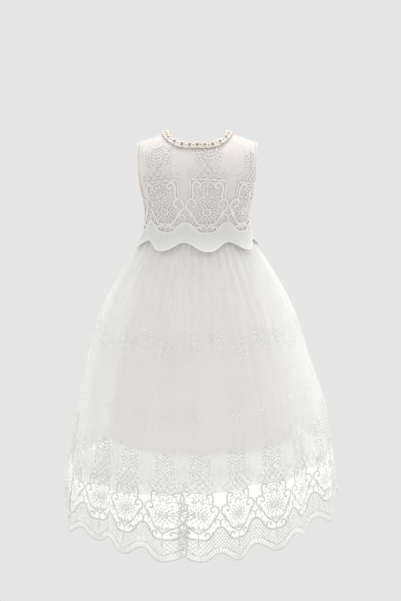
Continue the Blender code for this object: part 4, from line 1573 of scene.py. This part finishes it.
def clipped(strokes, outline, margin):
    """The stretches of the strokes that lie inside a flat outline, this far from its edge."""
    kept = []
    for stroke in strokes:
        flat = stroke.line * (BODICE_RADIUS, 1.0)
        within = inside(flat, outline)
        if within.any():
            within &= distance_to_loop(flat, outline) > margin
        for a, b in runs_inside(within):
            kept.append(Stroke(stroke.line[a:b], stroke.half_widths[a:b], stroke.rise))
    return kept


def bodice_place(number):
    """Turns mm of the drawing into places on the bodice at this motif."""

    def place(line):
        share = number + line[:, 0] / BODICE_LACE.pitch
        return BODICE_MOTIF_TURN + share * TURN / BODICE_REPEATS, line[:, 1] * MM - LACE_DROP

    return place


def band_ground(part):
    """Closer mesh of the lace between its free edge and the band, a net of its own on the first."""
    first, last = PART_ENDS[part]
    columns = round(BAND_COLUMNS * (last - first))
    across = np.linspace(first + BAND_MARGIN, last - BAND_MARGIN, columns + 1)
    repeat = (across - BODICE_MOTIF_TURN) * BODICE_REPEATS / TURN
    foot = LACE_SCALLOP * scallop(repeat) + BODICE_LACE.edge_half * MM
    top = bodice_band_foot(((repeat + 0.5) % 1.0 - 0.5) * BODICE_LACE.pitch) * MM
    share = np.linspace(0, 1, BAND_ROWS + 1)[:, None]
    rise = foot + (top - foot) * share - LACE_DROP
    across = np.broadcast_to(across, rise.shape)
    points = lace_form(across, rise) + outward(lace_form, across, rise) * BODICE_THREAD_LIFT / 2
    place = (points, across * BODICE_RADIUS, rise)
    cloth = CLOTH["bodice_close_mesh"]
    return add_grid(f"lace_bodice_{part}_ground", *place, cloth, downwards=False)


# Flat cut of each bodice piece, width by length, and its area, of the lining and of the lace
BodiceCut = namedtuple("BodiceCut", "part lining lining_area lace lace_area")
BODICE_CUTS = table(
    BodiceCut,
    ("front", (0.255, 0.195), 0.0344, (0.255, 0.215), 0.0396),
    ("back_left", (0.128, 0.195), 0.0170, (0.128, 0.215), 0.0196),
    ("back_right", (0.128, 0.195), 0.0170, (0.128, 0.215), 0.0196),
)

# Threads of the bodice's lace, and how far each stays from the edges of a piece
EDGE_MARGIN = 0.0016
BodiceThread = namedtuple("BodiceThread", "kind cloth margin lift")
BODICE_THREADS = table(
    BodiceThread,
    ("cords", "bodice_cord", EDGE_MARGIN / 4, BODICE_THREAD_LIFT),
    ("satin", "bodice_satin_stitch", EDGE_MARGIN, BODICE_THREAD_LIFT),
    ("crowns", "bodice_crown_thread", EDGE_MARGIN, THREAD_LIFT),
)


def build_bodice():
    """The three pieces of the bodice, each a lining with its lace on it."""
    repeats = [bodice_place(number) for number in range(-4, 8)]
    more_cords = [cord(LINTEL, 0.9), cord(OUTER_WALL, 0.9)]
    motif = lace_motif(BODICE_LACE, bodice_band_foot, more_cords)
    drawn = [spread_out(strokes, repeats) for strokes in motif]
    for cut in BODICE_CUTS:
        lining_name = f"bodice_lining_{cut.part}"
        outline = bodice_outline(cut.part, waist_rise)
        lining = cut_cloth(f"{lining_name}_cloth", bodice_form, outline, CLOTH["ivory_satin_lining"])
        lace_name = f"lace_bodice_{cut.part}"
        outline = bodice_outline(cut.part, lace_edge_rise)
        net = cut_cloth(f"{lace_name}_net", lace_form, outline, CLOTH["bodice_net"])
        for thread, strokes in zip(BODICE_THREADS, drawn):
            laid = clipped(strokes, outline, thread.margin)
            name = f"{lace_name}_{thread.kind}"
            lay_strokes(name, lace_form, laid, CLOTH[thread.cloth], thread.lift)
        band_ground(cut.part)
        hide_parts(lining_name)
        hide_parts(lace_name)


BINDING_HALF = 1.3 * MM
BINDING_THICK = 1.1 * MM


def build_armholes():
    """A narrow rolled binding round each armhole, over both layers."""
    across, rise = (armhole_edge() / (BODICE_RADIUS, 1.0)).T
    turns = np.concatenate([across, (math.pi - across)[::-1]])
    rises = np.concatenate([rise, rise[::-1]])
    for name, way in (("left", 1), ("right", -1)):
        normals = outward(bodice_form, way * turns, rises)
        path = bodice_form(way * turns, rises) + normals * LAYER / 2
        section = (BINDING_HALF, BINDING_THICK, CLOTH["cotton_binding"])
        binding = tube(f"armhole_binding_{name}", path, normals, *section, closed=True)


# -------- neck trim

STONE_RADIUS = 2.0 * MM
STONE_LIFT = 0.9 * MM
PEARL_RADIUS = 0.95 * MM
PEARLS_ROUND = 11
PEARL_RING = 3.3 * MM
DROP_HALF = (0.85 * MM, 2.0 * MM, 0.85 * MM)
SEED_RADIUS = 0.70 * MM
SEEDS = 4 * TRIM_STONES
SEED_OUT = 1.3 * MM
RIBBON_ROWS = 6
BAND_THICK = 0.8 * MM


def trim_place(turn, width, lift):
    """Points on the neck trim at these angles round the neck, width from its upper edge along the
    cloth, and lift outside the lining, with the normals there."""
    turn, width = np.broadcast_arrays(np.asarray(turn, float), np.asarray(width, float))
    side = np.where(np.cos(turn) >= 0, 1.0, -1.0)
    edge_depth = np.where(side > 0, NECK_FRONT_DEPTH, NECK_BACK_DEPTH)
    across, out = rounded(turn, NECK_SQUARENESS)

    def at(past):
        depth = np.maximum((edge_depth + past) * np.abs(out), SEAM_GAP / 10)
        place = place_on_yoke((NECK_HALF_WIDTH + past) * across, depth, side)
        normal = outward(bodice_form, *place)
        return bodice_form(*place) + normal * np.asarray(lift)[..., None], normal

    start = at(np.zeros_like(turn))[0]
    near, far = np.zeros_like(turn), width * SEARCH_REACH
    for _ in range(SEARCH_STEPS):
        middle = (near + far) / 2
        short = np.linalg.norm(at(middle)[0] - start, axis=-1) < width
        near, far = np.where(short, middle, near), np.where(short, far, middle)
    return at(near)


def trim_frame(turn, width, lift):
    """Places on the trim with their axes: along the band, across it downwards, and out of it."""
    middle, normal = trim_place(turn, width, lift)
    ahead, _ = trim_place(np.asarray(turn) + TRIM_PROBE, width, lift)
    along = unit(ahead - middle)
    along = unit(along - normal * (along * normal).sum(-1, keepdims=True))
    return middle, along, np.cross(normal, along), normal


BEAD_END = 0.18


def round_bead(rings=6, sides=10):
    """Points and faces of a ball of radius 1, as squares."""
    points = []
    for polar in np.linspace(BEAD_END, math.pi - BEAD_END, rings):
        for angle in np.arange(sides) * TURN / sides:
            out = math.sin(polar)
            points.append((out * math.cos(angle), out * math.sin(angle), math.cos(polar)))
    caps = []
    for start, order in ((0, 1), ((rings - 1) * sides, -1)):
        cap = [start + j for j in range(sides)][::order]
        caps += [(cap[0], cap[j], cap[j + 1], cap[j + 2]) for j in range(1, sides - 2, 2)]
    return np.array(points), np.vstack([ring_faces(rings, sides), caps])


STONE_SIDES = 8
StoneRing = namedtuple("StoneRing", "radius height turn")
STONE_RINGS = table(
    StoneRing,
    (0.50, 0.62, 0.5),
    (0.86, 0.36, 0.0),
    (1.00, 0.10, 0.5),
    (0.80, -0.25, 0.0),
)


def cut_stone():
    """Points and triangles of a brilliant-cut stone of radius 1: a flat top, a crown and a foot."""
    sides = STONE_SIDES
    points, faces = [], []
    for radius, height, turn in STONE_RINGS:
        for j in range(sides):
            angle = (j + turn) * TURN / sides
            points.append((radius * math.cos(angle), radius * math.sin(angle), height))
    for ring in range(len(STONE_RINGS) - 1):
        skew = 1 - ring % 2
        for j in range(sides):
            a, b = (ring * sides + (j + k) % sides for k in (0, 1))
            c, d = ((ring + 1) * sides + (j + skew + k) % sides for k in (0, 1))
            faces += [(a, c, b), (c, d, b)] if skew else [(a, c, d), (a, d, b)]
    foot = (len(STONE_RINGS) - 1) * sides
    for j in range(1, sides - 1):
        faces += [(0, j, j + 1), (foot, foot + j + 1, foot + j)]
    return np.array(points), np.array(faces)


def copies(name, template, spots, size, material):
    """One mesh of copies of a bead of this radius, or these three half sizes. spots are places and
    their three axes."""
    points, faces = template
    middle, *axes = spots
    shape = points * np.asarray(size)
    moved = middle[:, None]
    moved = moved + sum(axis[:, None] * shape[None, :, k, None] for k, axis in enumerate(axes))
    faces = faces[None] + (np.arange(len(middle)) * len(points))[:, None, None]
    faces = faces.reshape(-1, faces.shape[-1])
    piece = add_mesh(name, moved.reshape(-1, 3), faces, material, smooth=faces.shape[-1] == 4)


RIBBON_COLUMNS = TRIM_STONES * 8
RIBBON_EDGE = 0.06
TRIM_END = math.pi - BACK_OPENING
TRIM_LIFT = LAYER + WALL / 2 + SEAM_GAP
CORD_POINTS = 300
EDGE_CORD_HALF = 0.7 * MM
EDGE_CORD_LIFT = 0.4 * MM
PEARL_LIFT = BAND_THICK + PEARL_RADIUS * 0.5
DROP_LIFT = BAND_THICK + 0.3 * MM
SEED_LIFT = SEED_RADIUS * 0.6


def spaced_round(count):
    """Angles of this many beads, evenly round the neck from one end of the band to the other."""
    return -TRIM_END + (np.arange(count) + 0.5) * 2 * TRIM_END / count


def neck_ribbon():
    """The band under the beads, with a cord along each edge."""
    turns = np.linspace(-TRIM_END, TRIM_END, RIBBON_COLUMNS + 1)
    turns, share = np.meshgrid(turns, np.linspace(0, 1, RIBBON_ROWS + 1))
    bulge = np.sin(math.pi * np.clip(share, RIBBON_EDGE, 1 - RIBBON_EDGE)) ** 0.5
    width = share * TRIM_WIDTH
    outer, _ = trim_place(turns, width, TRIM_LIFT + BAND_THICK * bulge)
    band = add_grid("neck_band", outer, turns * NECK_HALF_WIDTH, width, CLOTH["neck_ribbon"])
    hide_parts("neck_trim")
    turns = np.linspace(-TRIM_END, TRIM_END, CORD_POINTS)
    for name, width in (("upper", 0.0), ("lower", TRIM_WIDTH)):
        path, normals = trim_place(turns, width, TRIM_LIFT + EDGE_CORD_LIFT)
        section = (EDGE_CORD_HALF, EDGE_CORD_HALF, CLOTH["neck_ribbon"])
        tube(f"neck_cord_{name}", path, normals, *section)


def build_neck_trim():
    """The neck band with its stones ringed in pearls, the drops between them and the seed beads."""
    neck_ribbon()
    half = TRIM_WIDTH / 2
    centres = spaced_round(TRIM_STONES)
    stones = trim_frame(centres, half, TRIM_LIFT + STONE_LIFT)
    copies("neck_stones", cut_stone(), stones, STONE_RADIUS, BEADS["cut_stone"])

    middle, along, down, out = trim_frame(centres, half, TRIM_LIFT + PEARL_LIFT)
    angle = np.arange(PEARLS_ROUND) * TURN / PEARLS_ROUND
    beside = along[:, None] * (PEARL_RING * np.cos(angle))[:, None]
    below = down[:, None] * (PEARL_RING * np.sin(angle))[:, None]
    ring = middle[:, None] + beside + below
    axes = [np.repeat(axis, PEARLS_ROUND, axis=0) for axis in (along, down, out)]
    pearls = [ring.reshape(-1, 3), *axes]
    copies("neck_pearls", round_bead(), pearls, PEARL_RADIUS, BEADS["pearl_bead"])

    gaps = (centres[:-1] + centres[1:]) / 2
    drops = trim_frame(gaps, half, TRIM_LIFT + DROP_LIFT)
    copies("neck_drops", round_bead(7, 10), drops, DROP_HALF, BEADS["smoky_drop"])

    seeds = trim_frame(spaced_round(SEEDS), TRIM_WIDTH + SEED_OUT, TRIM_LIFT + SEED_LIFT)
    copies("neck_seed_beads", round_bead(5, 8), seeds, SEED_RADIUS, BEADS["seed_bead"])


# -------- buttons

BUTTON_SIDES = 40
BUTTON_HUB = 0.02
ButtonRing = namedtuple("ButtonRing", "radius height")
BUTTON_RINGS = table(
    ButtonRing,
    (0.00, 0.62),
    (0.30, 0.64),
    (0.52, 0.74),
    (0.66, 0.92),
    (0.80, 1.00),
    (0.93, 0.88),
    (1.00, 0.60),
    (0.97, 0.30),
    (0.80, 0.00),
    (0.00, 0.00),
)
LOOP_REACH = 0.0125
LOOP_POINTS = 25
LOOP_START = BUTTON_SETBACK + 1.0 * MM
LOOP_WIDTH = 0.55
LOOP_FULLNESS = 0.8
LOOP_LIFT = 0.4 * MM
LOOP_THREAD_HALF = 0.45 * MM


def button_seat(number):
    """Middle of a button's foot, with the axes along the lace, up it and out of it."""
    across = math.pi - BUTTON_SETBACK / BODICE_SECTIONS[0].half_depth
    spot = np.array([across]), np.array([BUTTON_TOP_RISE - number * BUTTON_SPACING])
    normal = outward(lace_form, *spot)[0]
    seat = lace_form(*spot)[0] + normal * (WALL / 2 + SEAM_GAP + BUTTON_SEAT)
    along = unit(np.cross((0.0, 0.0, 1.0), normal))
    return seat, along, np.cross(normal, along), normal


def build_button(number):
    """A dished pearl button in its thread loop."""
    seat, along, up, normal = button_seat(number - 1)
    angle = np.arange(BUTTON_SIDES) * TURN / BUTTON_SIDES
    round_it = np.outer(np.cos(angle), along) + np.outer(np.sin(angle), up)
    points = []
    for radius, height in BUTTON_RINGS:
        reach = max(radius, BUTTON_HUB) * BUTTON_RADIUS
        points.append(seat + reach * round_it + normal * (height * BUTTON_THICKNESS))
    faces = ring_faces(len(BUTTON_RINGS), BUTTON_SIDES)
    button = add_mesh(f"pearl_button_{number}", np.vstack(points), faces, BEADS["pearl_shell"])
    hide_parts(f"button_{number}")

    bend = np.linspace(-0.5, 0.5, LOOP_POINTS) * TURN
    out = LOOP_REACH * np.cos(bend / 2) ** LOOP_FULLNESS
    path = seat + np.outer(LOOP_START - out, -along)
    path = path + np.outer(BUTTON_RADIUS * LOOP_WIDTH * np.sin(bend) * np.cos(bend / 2), up)
    path = path + normal * LOOP_LIFT
    normals = np.tile(normal, (len(path), 1))
    section = (LOOP_THREAD_HALF, LOOP_THREAD_HALF, CLOTH["bodice_cord"])
    tube(f"button_loop_{number}", path, normals, *section)


def build_buttons():
    """Buttons down the wearer's left edge of the opening."""
    for number in range(BUTTONS):
        build_button(number + 1)


# -------- seams

SEAM_HALF = 0.9
SEAM_CLEARANCE = 0.001


def side_seams(name, form, low, high, points, rise, material):
    """Narrow felled seams up both sides, from low to high, of this many points and this rise."""
    lines = []
    for side in (-1, 1):
        ups = np.linspace(low(side), high, points)
        line = np.stack([np.full(points, side * QUARTER), ups], axis=1)
        lines.append(even_stroke(line, SEAM_HALF, rise))
    return lay_strokes(name, form, lines, CLOTH[material])


def build_seams():
    """The side seams of the lace bodice and of the outer skirt."""

    def lace_foot(side):
        return float(lace_edge_rise(np.array(side * SIDE))) + SEAM_CLEARANCE

    def net_foot(_):
        return float(net_hem(np.array(QUARTER)))

    top = ARMHOLE[0].rise - SEAM_CLEARANCE
    seams = side_seams("bodice_side_seams", lace_form, lace_foot, top, 20, 0.5, "bodice_seam")
    top = WAIST_Z - 2 * SEAM_CLEARANCE
    seams = side_seams("skirt_side_seams", net_form, net_foot, top, 90, 0.4, "skirt_seam")


# -------- camera, light and backdrop

CAMERA_PLACE = (0.0049, -1.5, 0.0)
CAMERA_PITCH = math.radians(80.4)
CAMERA_LENS = 58.0
BACKDROP = 0.791
DAYLIGHT = 0.98
FLOOR_Z = -1.0
FLOOR_SIZE = 12.0

Lamp = namedtuple("Lamp", "name place size power")
LAMPS = table(
    Lamp,
    ("back_light", (-1.30, 1.00, 0.25), 1.1, 3.4),
    ("side_light", (1.40, 0.80, 0.10), 0.9, 8.0),
    ("top_light", (0.10, 0.05, 1.40), 0.7, 12.0),
)
GOWN_MIDDLE = Vector((0.0, 0.0, -0.33))
CLEAR_LAYERS = 32
HEM_LIGHT_PLACE = (0.0055, 0.0, -0.497)
HEM_LIGHT_TURN = (0.0, math.radians(-3.6), 0.0)
HEM_LIGHT_RADIUS = 0.005
HEM_LIGHT_POWER = 1.15
HEM_LIGHT_CONE = math.radians(179)


def light_up(tree, shader, strength):
    """Makes a bright surface look like the backdrop and light the gown with the daylight."""
    path = tree.nodes.new("ShaderNodeLightPath")
    level = tree.nodes.new("ShaderNodeMix")
    level.inputs[2].default_value = DAYLIGHT
    level.inputs[3].default_value = BACKDROP
    tree.links.new(path.outputs["Is Camera Ray"], level.inputs[0])
    tree.links.new(level.outputs[0], strength)
    shader.inputs["Color"].default_value = (1.0, 1.0, 1.0, 1.0)


def add_to_scene(name, data, place=(0.0, 0.0, 0.0), turn=(0.0, 0.0, 0.0)):
    piece = bpy.data.objects.new(name, data)
    piece.location = place
    piece.rotation_euler = turn
    bpy.context.scene.collection.objects.link(piece)
    return piece


def build_daylight():
    world = bpy.data.worlds.new("soft_daylight")
    world.use_nodes = True
    background = world.node_tree.nodes["Background"]
    light_up(world.node_tree, background, background.inputs["Strength"])
    bpy.context.scene.world = world
    bpy.context.scene.view_settings.view_transform = "Standard"
    bpy.context.scene.cycles.transparent_max_bounces = CLEAR_LAYERS


def build_floor():
    material = bpy.data.materials.new("pale_floor")
    material.use_nodes = True
    tree = material.node_tree
    glow = tree.nodes.new("ShaderNodeEmission")
    light_up(tree, glow, glow.inputs["Strength"])
    tree.links.new(glow.outputs[0], tree.nodes["Material Output"].inputs["Surface"])
    half = FLOOR_SIZE / 2
    corners = [(x * half, y * half, FLOOR_Z) for x, y in ((-1, -1), (1, -1), (1, 1), (-1, 1))]
    mesh = bpy.data.meshes.new("floor")
    mesh.from_pydata(corners, [], [(0, 1, 2, 3)])
    mesh.materials.append(material)
    add_to_scene("floor", mesh)


def add_light(kind, name, place, turn, **settings):
    """A light with these settings, itself unseen."""
    light = bpy.data.lights.new(name, kind)
    for setting, value in settings.items():
        setattr(light, setting, value)
    add_to_scene(name, light, place, turn).visible_camera = False


def build_lights():
    for lamp in LAMPS:
        towards = GOWN_MIDDLE - Vector(lamp.place)
        turn = towards.to_track_quat("-Z", "Y").to_euler()
        size = {"shape": "DISK", "size": lamp.size}
        add_light("AREA", lamp.name, lamp.place, turn, energy=lamp.power, **size)
    cone = {"spot_size": HEM_LIGHT_CONE, "spot_blend": 0.0, "shadow_soft_size": HEM_LIGHT_RADIUS}
    place = (HEM_LIGHT_PLACE, HEM_LIGHT_TURN)
    add_light("SPOT", "hem_light", *place, energy=HEM_LIGHT_POWER, **cone)


def build_camera():
    camera = bpy.data.cameras.new("camera")
    camera.lens = CAMERA_LENS
    turn = (CAMERA_PITCH, 0, 0)
    bpy.context.scene.camera = add_to_scene("camera", camera, CAMERA_PLACE, turn)


build_daylight()
build_floor()
build_lights()
build_camera()
build_bodice()
build_skirt()
build_armholes()
build_neck_trim()
build_buttons()
build_seams()
